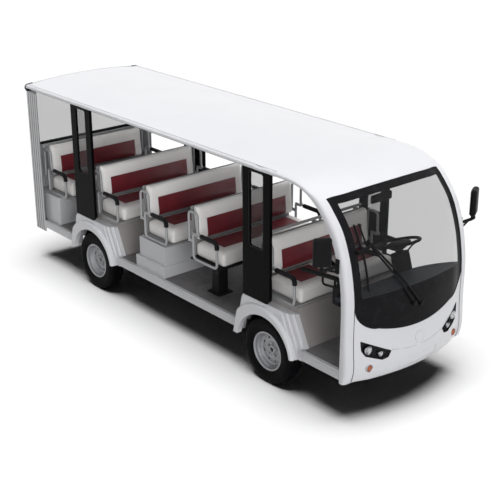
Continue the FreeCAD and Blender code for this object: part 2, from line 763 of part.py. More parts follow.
def leaning_block(x_bottom, x_top, z_bottom, z_top, thickness, half_width, r):
    """Upright slab whose front face leans from x_bottom to x_top."""
    solid = prism_y([(x_bottom, z_bottom), (x_top, z_top), (x_top - thickness, z_top),
                     (x_bottom - thickness, z_bottom)], -half_width, half_width)
    return solid.makeFillet(r, solid.Edges)


def backrests():
    """Backrest pad of every row."""
    return Part.makeCompound([leaning_block(x - 318, x - 350, 962, 1298, 76, SEAT_HALF_W, 24)
                              for x in SEAT_ROWS.values()])


ARM_Z = 1052.0
HANDLE_Z = 1258.0


def side_loop(x, y):
    """One bent tube in a vertical plane: grab handle, arm, front leg, lower rail and rear leg."""
    route = [(x - 405, 962), (x - 405, HANDLE_Z), (x - 277, HANDLE_Z), (x - 277, ARM_Z), (x, ARM_Z),
             (x, SEAT_Z), (x - 345, SEAT_Z), (x - 345, 1040)]
    loop = tube([V(px, y, pz) for px, pz in route], TUBE_R, 42)
    link = rounded_box(x - 352, x - 272, y - 5, y + 5, 1032, 1060, 4, V(0, 1, 0))
    strap = rounded_box(x - 412, x - 338, y - 5, y + 5, 962, 992, 4, V(0, 1, 0))
    return fused([loop, link, strap])


def seat_side_loops():
    """Bent side tubes of every row, left and right."""
    loops = [side_loop(x, LOOP_Y) for x in SEAT_ROWS.values()]
    return Part.makeCompound(loops + [mirrored(loop) for loop in loops])


def tray(x):
    """Flat tray under the cushion of a row."""
    return box(x - 396, x + 20, -LOOP_Y, LOOP_Y, BASE_TOP, SEAT_Z)


def without_loops(parts, x):
    """Parts of a row fused and cut clear of its side tubes."""
    whole = fused(parts)
    for y in (-LOOP_Y, LOOP_Y):
        whole = whole.cut(side_loop(x, y))
    return largest(whole)


def seat_pan(row):
    """Leaning back board of a row, with its tray and the grab rail of the first row."""
    x = SEAT_ROWS[row]
    half = SEAT_HALF_W - 4
    parts = [prism_y([(x - 396, BASE_TOP), (x - 396, 950), (x - 428, 1280), (x - 436, 1280),
                      (x - 404, 950), (x - 404, BASE_TOP)], -half, half)]
    if row != STAND_ROW:
        parts.append(tray(x))
    for side in (-1, 1):
        inner, outer = side * (half - 1), side * LOOP_Y
        parts.append(box(x - 411, x - 399, min(inner, outer), max(inner, outer), 966, 988))
    if row == 1:
        parts += grab_rail(x)
    return without_loops(parts, x)


def seat_pans():
    """Back board of every row, with the tray of each row but the one on a stand."""
    return Part.makeCompound([seat_pan(row) for row in SEAT_ROWS])


def grab_rail(x):
    """Tube across the back of the first row, on three short brackets."""
    rail = disc_y(x - 462, 1296, 13, -SEAT_HALF_W, SEAT_HALF_W)
    brackets = [box(x - 468, x - 424, y - 12, y + 12, 1262, 1290) for y in (-520, 0, 520)]
    return [rail] + brackets


def bench_stand():
    """Tray of the free-standing bench on two box-section posts with flanged foot plates."""
    x = SEAT_ROWS[STAND_ROW]
    posts = [tray(x)]
    for y in (-470, 470):
        posts.append(rounded_box(x - 222, x - 122, y - 58, y + 58, FLOOR_TOP + 8, BASE_TOP, 8, V(0, 0, 1)))
        posts.append(rounded_box(x - 262, x - 82, y - 88, y + 88, FLOOR_TOP, FLOOR_TOP + 9, 10, V(0, 0, 1)))
    return without_loops(posts, x)


def armrest_sleeve(x):
    """Foam sleeve on the arm of a left side loop, turned down over its front bend."""
    route = [V(x - 228, LOOP_Y, ARM_Z), V(x, LOOP_Y, ARM_Z), V(x, LOOP_Y, ARM_Z - 62)]
    sleeve = tube(route, 21, 42)
    return sleeve.cut(tube(route, TUBE_R + 0.3, 42))


def armrest_pads():
    """Foam sleeves on the arms of every side loop."""
    left = [armrest_sleeve(x) for x in SEAT_ROWS.values()]
    return Part.makeCompound(left + [mirrored(sleeve) for sleeve in left])


# ---- side panels ----------------------------------------------------------------------
PANEL_TOP = ROOF_EDGE_Z - 5


def window_prism(x0, x1, y0, y1):
    """Rounded window form of a side panel between two depths."""
    return rounded_box(x0 + 88, x1 - 88, y0, y1, 1225, 1893, 22, V(0, 1, 0))


def side_panel(x0, x1):
    """Upright panel above a fender: pressed face with a tall window cut in it."""
    y0, y1 = 696.0, 724.0
    outline = [(x0, 745), (x1 - 44, 745), (x1, 786), (x1, PANEL_TOP), (x0, PANEL_TOP)]
    panel = prism_y(outline, y0, y1)
    edges = [e for e in panel.Edges if abs(e.CenterOfMass.y - y1) < 1 and e.CenterOfMass.z < PANEL_TOP - 1]
    panel = panel.makeFillet(6, edges)
    rim = rounded_box(x0 + 76, x1 - 76, y1 - 3, y1 + 9, 1213, 1905, 30, V(0, 1, 0))
    return panel.cut(rim).cut(window_prism(x0, x1, y0 - 5, y1 + 5))


def side_panels():
    """Four window panels."""
    left = [side_panel(*span) for span in PANEL_SPANS]
    return Part.makeCompound(left + [mirrored(p) for p in left])


# ---- driver's place -------------------------------------------------------------------
DASH_REAR_X = 2150.0
DASH_SLOPE = ((2162.0, 1058.0), (2470.0, 1086.0))     # rear and front (x, z) of the sloping top
DASH_UNDER_Z = 1022.0


def dashboard():
    """Moulded shelf across the nose, with a knee panel and the passenger's grab bar on a bracket."""
    (x0, z0), (x1, z1) = DASH_SLOPE
    profile = [(DASH_REAR_X + 12, DASH_UNDER_Z), (DASH_REAR_X, DASH_UNDER_Z + 10),
               (DASH_REAR_X, z0 - 10), (x0, z0), (x1, z1), (x1, z1 - 28), (2220, DASH_UNDER_Z)]
    shelf = prism_y(profile, -SEAM_Y, SEAM_Y)
    plan = Part.Face(Part.Wire([
        Part.makeLine(V(DASH_REAR_X, -SEAM_Y, 0), V(2350, -SEAM_Y, 0)),
        Part.Arc(V(2350, -SEAM_Y, 0), V(2464, 0, 0), V(2350, SEAM_Y, 0)).toShape(),
        Part.Arc(V(2350, SEAM_Y, 0), V(2205, 420, 0), V(DASH_REAR_X, 180, 0)).toShape(),
        Part.makeLine(V(DASH_REAR_X, 180, 0), V(DASH_REAR_X, -SEAM_Y, 0)),
    ])).extrude(V(0, 0, 1500))
    knee_panel = prism_y([(2200, 1044), (2072, 992), (2064, 880), (2078, 880), (2085, 982), (2214, 1034)],
                         60, 400)
    bracket = rounded_box(2095, 2180, -628, -580, 968, 1130, 8)
    grab_bar = tube([V(1712, -604, 1146), V(2150, -604, 1190), V(2150, -604, 1100)], 19, 32)
    loop = tube([V(1960, -604, 1170), V(1960, -604, 1092), V(2100, -604, 1106), V(2100, -604, 1184)], 9, 24)
    return fused([shelf.common(plan), knee_panel, bracket, grab_bar, loop])


def column_axis():
    """Unit vector along the steering axis, up towards the driver."""
    a = math.radians(COLUMN_TILT_DEG)
    return V(-math.cos(a), 0, math.sin(a))


def steering_column(dash):
    """Column shroud down to the knee panel, with two stalks under the wheel."""
    axis = column_axis()
    shroud = rounded_box(-46, 46, -80, 80, -300, -78, 18)
    shroud = fused([shroud, Part.makeCylinder(34, 26, V(0, 0, -90), V(0, 0, 1))])
    shroud.rotate(V(0, 0, 0), V(0, 1, 0), COLUMN_TILT_DEG - 90)
    shroud.translate(STEERING_HUB)
    parts = [shroud]
    top = STEERING_HUB - axis * 100
    for side in (-1, 1):
        tip = top + V(-6, side * 168, 46)
        parts.append(tube([top, top + V(0, side * 92, 4), tip], 7, 24))
        parts.append(Part.makeCylinder(11, 46, tip, tip - top - V(0, side * 92, 4)))
    return largest(fused(parts).cut(dash))


def steering_wheel():
    """Rim, four sagging spokes and hub pad, tilted with the column."""
    ring = Part.makeTorus(STEERING_R, 13.5, V(0, 0, 0), V(0, 0, 1))
    hub = Part.makeCylinder(36, 40, V(0, 0, -50), V(0, 0, 1))
    pad = rounded_box(-58, 58, -74, 74, -24, 6, 10)
    spokes = []
    for degrees in (28, 152, 208, 332):
        spoke = prism_y([(30, -22), (30, -8), (120, -10), (STEERING_R, 4), (STEERING_R, -6),
                         (120, -22)], -15, 15)
        spokes.append(turned(spoke, V(0, 0, 0), V(0, 0, 1), degrees))
    wheel = fused([ring, hub, pad] + spokes)
    wheel.rotate(V(0, 0, 0), V(0, 1, 0), -(90 - COLUMN_TILT_DEG))
    wheel.translate(STEERING_HUB)
    return wheel


def hand_lever():
    """Parking brake lever in its gaiter between the front cushions."""
    base = rounded_box(1470, 1650, -30, 30, SEAT_Z, 846, 12, V(0, 0, 1))
    lever = tube([V(1610, 0, 834), V(1520, 0, 925), V(1372, 0, 992)], 10, 40)
    grip = Part.makeCylinder(16, 120, V(1480, 0, 943), V(-148, 0, 67))
    return fused([base, lever, grip])


MIRROR_Y = 905.0
MIRROR_TURN_DEG = 30.0


def mirror_unit(pillars):
    """Left door mirror: head turned outwards, ball joint, straight arm and foot on its pillar."""
    head = rounded_box(-27, 27, -74, 74, 1414, 1652, 22)
    head.rotate(V(0, 0, 0), V(0, 0, 1), MIRROR_TURN_DEG)
    head.translate(V(2254, MIRROR_Y, 0))
    joint = V(2254, MIRROR_Y, 1376)
    arm = tube([joint + V(0, 0, 52), joint, V(2250, 734, 1376)], 14, 22)
    ball = Part.makeSphere(21, joint + V(0, 0, 12))
    strut = tube([V(2256, 736, 1330), V(2256, 770, 1338), V(2253, 850, 1374)], 8, 30)
    foot = rounded_box(2234, 2270, 714, 746, 1312, 1432, 7)
    return largest(fused([head, arm, ball, strut, foot]).cut(pillars))


def door_mirrors(pillars):
    """Both outside mirrors."""
    return both_sides(mirror_unit(pillars))


def interior_mirror():
    """Wide mirror hung on a stem from the roof above the windscreen."""
    head = rounded_box(1990, 2020, -118, 118, 1676, 1748, 13)
    plate = rounded_box(2004, 2044, -24, 24, 1884, 1893, 4, V(0, 0, 1))
    stem = tube([V(2010, 0, 1735), V(2012, 0, 1800), V(2024, 0, 1890)], 9, 60)
    return fused([head, plate, stem])


def on_screen(y, z, proud):
    """Point a little in front of the windscreen at a place of the front view."""
    return V(screen_x(y, z) + proud, y, z)


def wiper(screen_slab):
    """Wiper on two rods: pivots on the black band, coupling bracket, and a blade in its carrier."""
    pivots = [on_screen(-96, 962, 14), on_screen(-15, 938, 14)]
    heads = [on_screen(-430, 1435, 32), on_screen(-469, 1518, 32)]
    joint = on_screen(-545, 1480, 32)
    parts = []
    for pivot, head in zip(pivots, heads):
        middle = on_screen((pivot.y + head.y) / 2, (pivot.z + head.z) / 2, 36)
        parts.append(Part.makeCylinder(22, 38, pivot - V(13, 0, 0), V(1, 0, 0)))
        parts.append(tube([pivot + V(8, 0, 0), middle, head], 8.5, 300))
    for a, b in (heads, (heads[1], joint), (heads[0], joint), (joint, on_screen(-594, 1472, 30))):
        along = b - a
        parts.append(Part.makeCylinder(17, along.Length + 12, a - along.normalize() * 6, along))
    blade = [on_screen(-544, 1158, 26), on_screen(-550, 1420, 34), on_screen(-558, 1672, 26)]
    carrier = [on_screen(-508, 1490, 34), on_screen(-518, 1676, 30)]
    parts += [tube(blade, 9, 900), tube(carrier, 7, 24)]
    return largest(fused(parts).cut(screen_slab))


# ---- running gear ---------------------------------------------------------------------
FORK_Z = ((246.0, 279.0), (329.0, 362.0))     # the knuckle's two fork plates
EYE_Z = (284.0, 324.0)
KINGPIN_R = 9.0
RUNNING_FIT = 0.05
BACK_PLATE_Y = 594.0
STUB_R = 17.0
STUB_END_Y = 635.0


def front_axle_beam():
    """I-section beam between the kingpins with a bored eye at each end."""
    x = FRONT_AXLE_X
    end = KINGPIN_Y - 42
    beam = fused([box(x - 30, x + 30, -end, end, 262, 276), box(x - 9, x + 9, -end, end, 270, 330),
                  box(x - 30, x + 30, -end, end, 322, SPRING_SEAT_Z)])
    z0, z1 = EYE_Z
    eye = fused([Part.makeCylinder(24, z1 - z0, V(x, KINGPIN_Y, z0), V(0, 0, 1)),
                 box(x - 20, x + 20, end - 8, KINGPIN_Y, z0, z1)])
    eye = eye.cut(Part.makeCylinder(KINGPIN_R + RUNNING_FIT, 60, V(x, KINGPIN_Y, z0 - 10), V(0, 0, 1)))
    return fused([beam, eye, mirrored(eye)])


def knuckle():
    """Left steering knuckle: fork with its kingpin, steering arm, brake back plate and stub axle."""
    x = FRONT_AXLE_X
    parts = []
    for z0, z1 in FORK_Z:
        parts.append(box(x - 24, x + 24, KINGPIN_Y, BACK_PLATE_Y, z0, z1))
        parts.append(Part.makeCylinder(24, z1 - z0, V(x, KINGPIN_Y, z0), V(0, 0, 1)))
    z_low, z_high = FORK_Z[0][0], FORK_Z[1][1]
    parts.append(Part.makeCylinder(KINGPIN_R, z_high - z_low, V(x, KINGPIN_Y, z_low), V(0, 0, 1)))
    parts.append(box(x - 24, x + 24, KINGPIN_Y + 31, BACK_PLATE_Y, z_low, z_high))
    parts.append(box(x - 120, x, KINGPIN_Y - 12, KINGPIN_Y + 12, z_low, z_low + 14))
    parts.append(disc_y(x, TYRE_R, 104, BACK_PLATE_Y, BACK_PLATE_Y + 4))
    parts.append(disc_y(x, TYRE_R, STUB_R, BACK_PLATE_Y, STUB_END_Y))
    return fused(parts)


def rear_axle():
    """Drive axle: tubes, gear housing, motor, spring seats, back plates and stub axles."""
    x, z = REAR_AXLE_X, TYRE_R
    parts = [disc_y(x, z, 32, -BACK_PLATE_Y, BACK_PLATE_Y), disc_y(x, z, STUB_R, -STUB_END_Y, STUB_END_Y),
             Part.makeSphere(104, V(x, 60, z)), Part.makeCylinder(92, 250, V(x + 40, 60, z), V(1, 0, 0)),
             Part.makeCylinder(70, 40, V(x + 285, 60, z), V(1, 0, 0))]
    for side in (-1, 1):
        y = side * RAIL_Y
        plate_y = side * BACK_PLATE_Y
        parts.append(box(x - 32, x + 32, y - 30, y + 30, z, SPRING_SEAT_Z))
        parts.append(disc_y(x, z, 104, min(plate_y, plate_y + side * 4), max(plate_y, plate_y + side * 4)))
    return fused(parts)


def turned_wheel_form(edges_of_half, side):
    """Solid turned about the wheel's axis from (radius, offset) points and arcs."""
    edges = []
    for points in edges_of_half:
        run = [V(r, side * y, 0) for r, y in points]
        edges.append(Part.Arc(*run).toShape() if len(run) == 3 else Part.makeLine(*run))
    return Part.Face(Part.Wire(edges)).revolve(V(0, 0, 0), V(0, 1, 0), 360)


def tyre():
    """Tyre: bead, bulged side wall, rounded shoulder and tread, open inwards to the rim."""
    seat = RIM_R + 0.4
    outer = [[(seat, 50), (seat, 58)], [(seat, 58), (171, 64.5)], [(171, 64.5), (184, 65)],
             [(184, 65), (207, 76)], [(207, 76), (238, 82.5)], [(238, 82.5), (268, 79)],
             [(268, 79), (287, 71.5)], [(287, 71.5), (298, 60)], [(298, 60), (302.5, 48)],
             [(302.5, 48), (TYRE_R, 36)]]
    inner = [[(seat, 50), (181, 52)], [(181, 52), (236, 71.5)], [(236, 71.5), (280, 61)],
             [(280, 61), (293, 34)]]

    def flipped(edges):
        return [[(r, -y) for r, y in points] for points in edges]

    half_low = flipped(outer)
    loop = outer + [[(TYRE_R, 36), (TYRE_R, -36)]] + [points[::-1] for points in half_low[::-1]]
    loop += flipped(inner) + [[(293, -34), (293, 34)]] + [points[::-1] for points in inner[::-1]]
    return turned_wheel_form(loop, 1)


RIM_PROFILE = [
    (180, 71), (174, 75), (166, 73), (161, 66), (158, 44), (150, 30), (143, 14),
    (134, 5), (126, 3), (119, 8), (100, 9), (72, 8), (62, 2), (44, 2),
    (40, 6), (40, 14), (35, 18), (22, 18), (20, 14), (20, -4), (0, -4),
    (0, -12), (17.05, -12), (17.05, -44), (42, -44), (42, -16), (88, -16), (88, -48), (96, -48), (96, 2),
    (118, 2), (126, -3), (138, -3), (143.5, -8), (143.5, -18), (158, -34), (160.5, -62), (166, -73),
    (174, -75), (180, -71), (180, -66), (175, -66), (170, -68), (165, -60), (165, -36), (148, -22),
    (148, 14), (163, 38), (165, 60), (170, 68), (175, 66), (180, 66),
]
VENT_R = 12.0
VENT_CIRCLE_R = 110.0


def wheel_rim(side):
    """Pressed steel wheel: flanged barrel, deep dished disc with round vents, hub and brake drum."""
    profile = RIM_PROFILE + RIM_PROFILE[:1]
    rim = turned_wheel_form([list(pair) for pair in zip(profile, profile[1:])], side)
    for k in range(8):
        hole = disc_y(0, VENT_CIRCLE_R, VENT_R, min(-side * 10, side * 60), max(-side * 10, side * 60))
        rim = rim.cut(turned(hole, V(0, 0, 0), V(0, 1, 0), 45 * k + 22.5))
    return rim


# ---- write every sub-part -------------------------------------------------------------
def sub_parts():
    """All nodes by name."""
    shell = body_shell(SKIN)
    edges = body_shell(PILLAR_T).common(outer_sides())
    skin = shell.cut(outer_sides())
    screen = forward_prism(windscreen_outline())
    glass = forward_prism(glass_outline())
    screen_slab = skin.common(screen)
    pillars = front_pillars(edges)
    dash = dashboard()
    parts = {
        "roof_shell": roof_shell(skin, edges, screen),
        "front_pillars": pillars,
        "front_cowl": front_cowl(skin, screen),
        "windscreen_band": screen_slab.cut(glass),
        "windscreen_glass": screen_slab.common(glass),
        "headlamps": headlamps(skin),
        "indicator_lamps": indicator_lamps(),
        "rear_corner_pillars": rear_corner_pillars(),
        "rear_panel": rear_panel(),
        "tail_trims": tail_trims(),
        "tail_lamps": tail_lamps(),
        "window_panes": window_panes(),
        "floor_deck": floor_deck(),
        "side_sills": side_sills(),
        "chassis_frame": chassis_frame(),
        "leaf_springs": leaf_springs(),
        "battery_box": battery_box(),
        "fenders": fenders(),
        "wheel_housings": wheel_housings(),
        "wheel_seat_bases": wheel_seat_bases(),
        "seat_boxes": seat_boxes(),
        "seat_pans": seat_pans(),
        "bench_stand": bench_stand(),
        "seat_side_loops": seat_side_loops(),
        "armrest_pads": armrest_pads(),
        "seat_cushions": seat_cushions(),
        "backrests": backrests(),
        "side_panels": side_panels(),
        "dashboard": dash,
        "steering_column": steering_column(dash),
        "steering_wheel": steering_wheel(),
        "hand_lever": hand_lever(),
        "door_mirrors": door_mirrors(pillars),
        "interior_mirror": interior_mirror(),
        "wiper": wiper(screen_slab),
        "front_axle_beam": front_axle_beam(),
        "rear_axle": rear_axle(),
        "knuckle_left": knuckle(),
        "knuckle_right": mirrored(knuckle()),
    }
    for name, side in WHEEL_SIDES.items():
        for end, axle_x in (("front", FRONT_AXLE_X), ("rear", REAR_AXLE_X)):
            place = V(axle_x, side * TYRE_Y, TYRE_R)
            parts[f"tyre_{end}_{name}"] = tyre().translated(place)
            parts[f"rim_{end}_{name}"] = wheel_rim(side).translated(place)
    return parts


os.makedirs("parts", exist_ok=True)
for node, shape in sub_parts().items():
    shape.exportStep(f"parts/{node}.step")
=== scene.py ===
"""Looks of the electric sightseeing vehicle: paint, glass, upholstery, tyres, lamps and trim."""

import json
import math

import bpy
import numpy as np
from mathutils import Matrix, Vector

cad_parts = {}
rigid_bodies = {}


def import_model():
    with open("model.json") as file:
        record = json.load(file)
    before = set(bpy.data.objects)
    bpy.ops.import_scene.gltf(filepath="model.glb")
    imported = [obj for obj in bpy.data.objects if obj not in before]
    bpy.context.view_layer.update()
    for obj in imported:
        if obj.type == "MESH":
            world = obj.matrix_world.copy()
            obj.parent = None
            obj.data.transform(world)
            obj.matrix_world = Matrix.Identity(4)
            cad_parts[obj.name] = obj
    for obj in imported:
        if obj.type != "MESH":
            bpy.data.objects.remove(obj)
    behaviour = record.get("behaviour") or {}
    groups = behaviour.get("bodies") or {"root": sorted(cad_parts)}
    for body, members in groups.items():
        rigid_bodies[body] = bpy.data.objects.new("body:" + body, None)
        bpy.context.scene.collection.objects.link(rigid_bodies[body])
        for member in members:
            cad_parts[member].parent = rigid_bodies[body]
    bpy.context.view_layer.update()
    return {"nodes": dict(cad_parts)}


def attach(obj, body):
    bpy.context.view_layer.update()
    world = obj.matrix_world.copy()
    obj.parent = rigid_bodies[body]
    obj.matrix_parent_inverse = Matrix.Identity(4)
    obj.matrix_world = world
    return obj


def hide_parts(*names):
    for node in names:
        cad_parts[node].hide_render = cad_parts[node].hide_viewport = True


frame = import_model()
NODES = frame["nodes"]

# ---- sizes and places, in metres --------------------------------------------------------
FRONT_AXLE_X = 1.415
REAR_AXLE_X = -1.289
TYRE_R = 0.304
TYRE_Y = 0.6515
WHEELS = {"front_left": (FRONT_AXLE_X, 1), "front_right": (FRONT_AXLE_X, -1),
          "rear_left": (REAR_AXLE_X, 1), "rear_right": (REAR_AXLE_X, -1)}
NUT_CIRCLE_R = 0.058
NUT_SEAT = 0.0030
FIRST_NUT_TURN = 0.3
VALVE_FOOT = (0.143, 0.012, -0.030)
SPRING_Y = 0.290
SIDE_Y = 0.730
FLOOR_TOP = 0.475

SEAT_ROWS = {1: 1.665, 2: 0.632, 3: -0.135, 4: -0.962, 5: -1.942}
SEAT_HALF_W = 0.600
FRONT_SPLIT_Y = 0.060
SEAT_Z = 0.800
CUSHION_T = 0.148
CUSHION_REACH = (-0.392, 0.034)
BACK_FOOT = (-0.318, 0.962)
BACK_HEAD = (-0.350, 1.298)
BACK_T = 0.076

WINDOW_PANEL_X = [(x - 0.325, x + 0.030) for x in (FRONT_AXLE_X, REAR_AXLE_X)]
WINDOW_BEAD_Y = 0.7212
WINDOW_MIDDLE_Z = 1.559
WINDOW_HALF_H = 0.336
WINDOW_FRAME_W = 0.086

ROOF_EDGE_Z = 1.920
ROOF_TAIL_X = -2.500
ROOF_SIDE_FRONT_X = 1.50
ROOF_TOP_Z = 1.990
ROOF_TAIL_DROP = 0.0345
ROOF_ROLL_CREASE = (0.7005, 1.9528)
TAIL_X = -2.508
TAIL_LAMP_Y = 0.525
LAMP_RIBS_Z = 0.680 + 0.020 * np.arange(10)
HANDLE_Z = 0.800
HINGE_Y = 0.30
HINGE_Z = 1.062
PLATE_SCREW = (0.13, 0.67)

SEAM_Y = 0.650
LAMP_CORNERS = [(0.585, 0.722), (0.578, 0.640), (0.548, 0.592), (0.400, 0.535), (0.345, 0.545),
                (0.315, 0.590)]
LAMP_BOWLS = ((0.518, 0.634, 0.034), (0.412, 0.586, 0.023))
BOWL_SET_BACK = 0.006
BOWL_DEPTH = 0.026
INDICATOR = (0.515, 0.480, 0.030)
CREASE = ((-0.338, 0.6075), (0, 0.563), (0.338, 0.6075))
PLATE_AREA = [(-0.22, 0.404), (0.22, 0.404), (0.22, 0.482), (-0.22, 0.482)]
BOSS_Z = 0.628
BOSS_R = 0.0505

STEERING_HUB = (1.975, 0.265, 1.232)
STEERING_TILT_DEG = 72.0
MIRROR_AT = (2.254, 0.905, 1.533)
MIRROR_TURN_DEG = 30.0
INNER_MIRROR_Z = 1.712


# ---- meshes -----------------------------------------------------------------------------
def linked(name, data):
    """New object of some data, in the scene."""
    made = bpy.data.objects.new(name, data)
    bpy.context.scene.collection.objects.link(made)
    return made


def new_mesh(name, points, faces):
    """Mesh from rows of points and of faces."""
    mesh = bpy.data.meshes.new(name)
    mesh.from_pydata(points, [], faces)
    return mesh


def put_mesh(name, form, finish, body="body", smooth_deg=40.0):
    """Piece from a form, which is an array of points and one of faces, with soft and sharp edges."""
    points, faces = form
    mesh = new_mesh(name, np.asarray(points, float).reshape(-1, 3), np.asarray(faces).tolist())
    mesh.validate()
    mesh.shade_smooth()
    mesh.set_sharp_from_angle(angle=math.radians(smooth_deg))
    piece = linked(name, mesh)
    piece.data.materials.append(finish)
    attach(piece, body)
    return piece


def read_all(items, attribute, width=1, kind=float):
    """One attribute of every vertex, face or corner as an array, with width numbers a row."""
    flat = np.empty(len(items) * width, dtype=kind)
    items.foreach_get(attribute, flat)
    return flat.reshape(-1, width) if width > 1 else flat


def put_map(mesh, name, u, v):
    """Map of a mesh from two numbers for each vertex."""
    corner = read_all(mesh.loops, "vertex_index", kind=np.int32)
    layer = mesh.uv_layers.new(name=name)
    layer.data.foreach_set("uv", np.stack([u[corner], v[corner]], axis=1).ravel())


def grid_faces(rows, cols, close_rows=False, close_cols=False):
    """Quads of a grid of points, row by row, with the last row or column joined to the first."""
    i = np.arange(rows if close_rows else rows - 1)[:, None]
    j = np.arange(cols if close_cols else cols - 1)[None, :]
    i2, j2 = (i + 1) % rows, (j + 1) % cols
    quads = np.stack([i * cols + j, i * cols + j2, i2 * cols + j2, i2 * cols + j], axis=-1)
    return quads.reshape(-1, 4)


def joined(*forms):
    """Several forms as one array of points and one of faces."""
    points, faces, count = [], [], 0
    for form_points, form_faces in forms:
        form_points = np.asarray(form_points, float).reshape(-1, 3)
        points.append(form_points)
        faces.append(np.asarray(form_faces) + count)
        count += len(form_points)
    return np.concatenate(points), np.concatenate(faces)


def repeated(form, shifts):
    """One form placed many times, once for each shift."""
    points, faces = form
    points = np.asarray(points, float).reshape(-1, 3)
    return joined(*[(points + np.asarray(shift, float), faces) for shift in shifts])


def mirrored(form):
    """Mirror image of a form in the plane y = 0, with its faces turned back outwards."""
    points, faces = form
    points = np.asarray(points, float).reshape(-1, 3) * np.array([1.0, -1.0, 1.0])
    return points, np.asarray(faces)[:, ::-1]


def both_ways(*forms):
    """Forms on the left side, together with their mirror images on the right."""
    return joined(*forms, *[mirrored(form) for form in forms])


def placed(*coordinates):
    """Points from their coordinates, each of them an array or one number for all."""
    return np.stack(np.broadcast_arrays(*(np.asarray(c, float) for c in coordinates)), axis=-1)


def carried(path, section, up, closed=False):
    """A closed section carried along a path.

    At each path point the section's first number runs along (tangent x up) and its second
    along the normal that completes the frame; ends of an open path are drawn to a point.
    """
    path = np.asarray(path, float)
    section = np.asarray(section, float)
    if closed:
        tangent = np.roll(path, -1, axis=0) - np.roll(path, 1, axis=0)
    else:
        tangent = np.gradient(path, axis=0)
    tangent /= np.linalg.norm(tangent, axis=1, keepdims=True)
    up = np.broadcast_to(np.asarray(up, float), path.shape)
    across = np.cross(tangent, up)
    across /= np.linalg.norm(across, axis=1, keepdims=True)
    normal = np.cross(across, tangent)
    points = (path[:, None, :] + across[:, None, :] * section[None, :, 0, None]
              + normal[:, None, :] * section[None, :, 1, None])
    if not closed:
        first = np.broadcast_to(points[0].mean(axis=0), points[0].shape)
        last = np.broadcast_to(points[-1].mean(axis=0), points[-1].shape)
        points = np.concatenate([first[None], points, last[None]])
    return points, grid_faces(points.shape[0], points.shape[1], close_rows=closed, close_cols=True)


def round_section(radius, steps=12):
    """Circle of points, turning clockwise so that a carried tube faces outwards."""
    angle = -np.linspace(0, 2 * np.pi, steps, endpoint=False)
    return placed(radius * np.cos(angle), radius * np.sin(angle))


def strip_section(width, height, edge=0.25):
    """Low trapezoid strip: flat foot, sloping shoulders and a narrower flat top."""
    w, h, top = width / 2, height, width / 2 * (1 - edge)
    return np.array([(-w, 0), (-w, h * 0.4), (-top, h), (top, h), (w, h * 0.4), (w, 0)])


def turned(profile, centre, axis, steps=48, wave=None, ring=False):
    """Surface of revolution.

    A point at (radius, offset) of the profile goes to centre + offset * axis + radius *
    (cos t * u + sin t * v); wave(t) may scale the radius round the turn. A profile that
    starts and ends on the axis gives a closed form, and so does a ring's, which runs round
    to its first point.
    """
    profile = np.asarray(profile, float)
    axis = np.asarray(axis, float) / np.linalg.norm(axis)
    helper = np.array([0.0, 0.0, 1.0]) if abs(axis[2]) < 0.9 else np.array([1.0, 0.0, 0.0])
    u = np.cross(helper, axis)
    u /= np.linalg.norm(u)
    v = np.cross(axis, u)
    t = np.linspace(0, 2 * np.pi, steps, endpoint=False)
    scale = np.ones(steps) if wave is None else wave(t)
    spoke = (np.cos(t)[:, None] * u + np.sin(t)[:, None] * v) * scale[:, None]
    points = (np.asarray(centre, float) + profile[None, :, 1, None] * axis
              + profile[None, :, 0, None] * spoke[:, None, :])
    return points, grid_faces(steps, len(profile), close_rows=True, close_cols=ring)


def rounded_loop(half_w, half_h, radius, per_corner=8):
    """Rounded rectangle as a closed loop of (across, up) points, anticlockwise."""
    t = np.linspace(0, np.pi / 2, per_corner)
    corners = []
    for k, (sx, sy) in enumerate(((1, 1), (-1, 1), (-1, -1), (1, -1))):
        a = t + k * np.pi / 2
        corners.append(placed(sx * (half_w - radius) + radius * np.cos(a),
                              sy * (half_h - radius) + radius * np.sin(a)))
    return np.concatenate(corners)


def arc_points(a, b, c, count):
    """Points in a plane along the circle from a through b to c."""
    a, b, c = (np.asarray(p, float) for p in (a, b, c))
    system = 2 * np.array([b - a, c - a])
    centre = np.linalg.solve(system, np.array([b @ b - a @ a, c @ c - a @ a]))
    angles = [math.atan2(*(p - centre)[::-1]) for p in (a, b, c)]
    step_b = (angles[1] - angles[0]) % (2 * np.pi)
    sweep = (angles[2] - angles[0]) % (2 * np.pi)
    if step_b > sweep:
        sweep -= 2 * np.pi
    t = angles[0] + sweep * np.linspace(0, 1, count)
    return centre + np.linalg.norm(a - centre) * placed(np.cos(t), np.sin(t))


def along_edges(corners, per_edge):
    """Evenly spaced points along the edges of a closed polygon."""
    corners = np.asarray(corners, float)
    share = np.arange(per_edge)[None, :, None] / per_edge
    after = np.roll(corners, -1, axis=0)
    return (corners[:, None, :] + (after - corners)[:, None, :] * share).reshape(-1, corners.shape[1])


def box_form(centre, size, chamfer):
    """Box whose corners and edges are cut off by a chamfer, as rings of eight points up its height."""
    cx, cy, cz = centre
    hx, hy, hz = (v / 2 for v in size)
    rings = []
    for z, shrink in ((-hz, chamfer), (-hz + chamfer, 0), (hz - chamfer, 0), (hz, chamfer)):
        ax, ay = hx - shrink, hy - shrink
        rings.append([(cx + x, cy + y, cz + z) for x, y in (
            (ax - chamfer, -ay), (ax, -ay + chamfer), (ax, ay - chamfer), (ax - chamfer, ay),
            (-ax + chamfer, ay), (-ax, ay - chamfer), (-ax, -ay + chamfer), (-ax + chamfer, -ay))])
    foot, head = ([tuple(np.mean(ring, axis=0))] * 8 for ring in (rings[0], rings[-1]))
    return np.array([foot, *rings, head]), grid_faces(6, 8, close_cols=True)


def hex_wave(t):
    """Radius share of a hexagon round a turn."""
    return np.cos(np.pi / 6) / np.cos((t + np.pi / 6) % (np.pi / 3) - np.pi / 6)


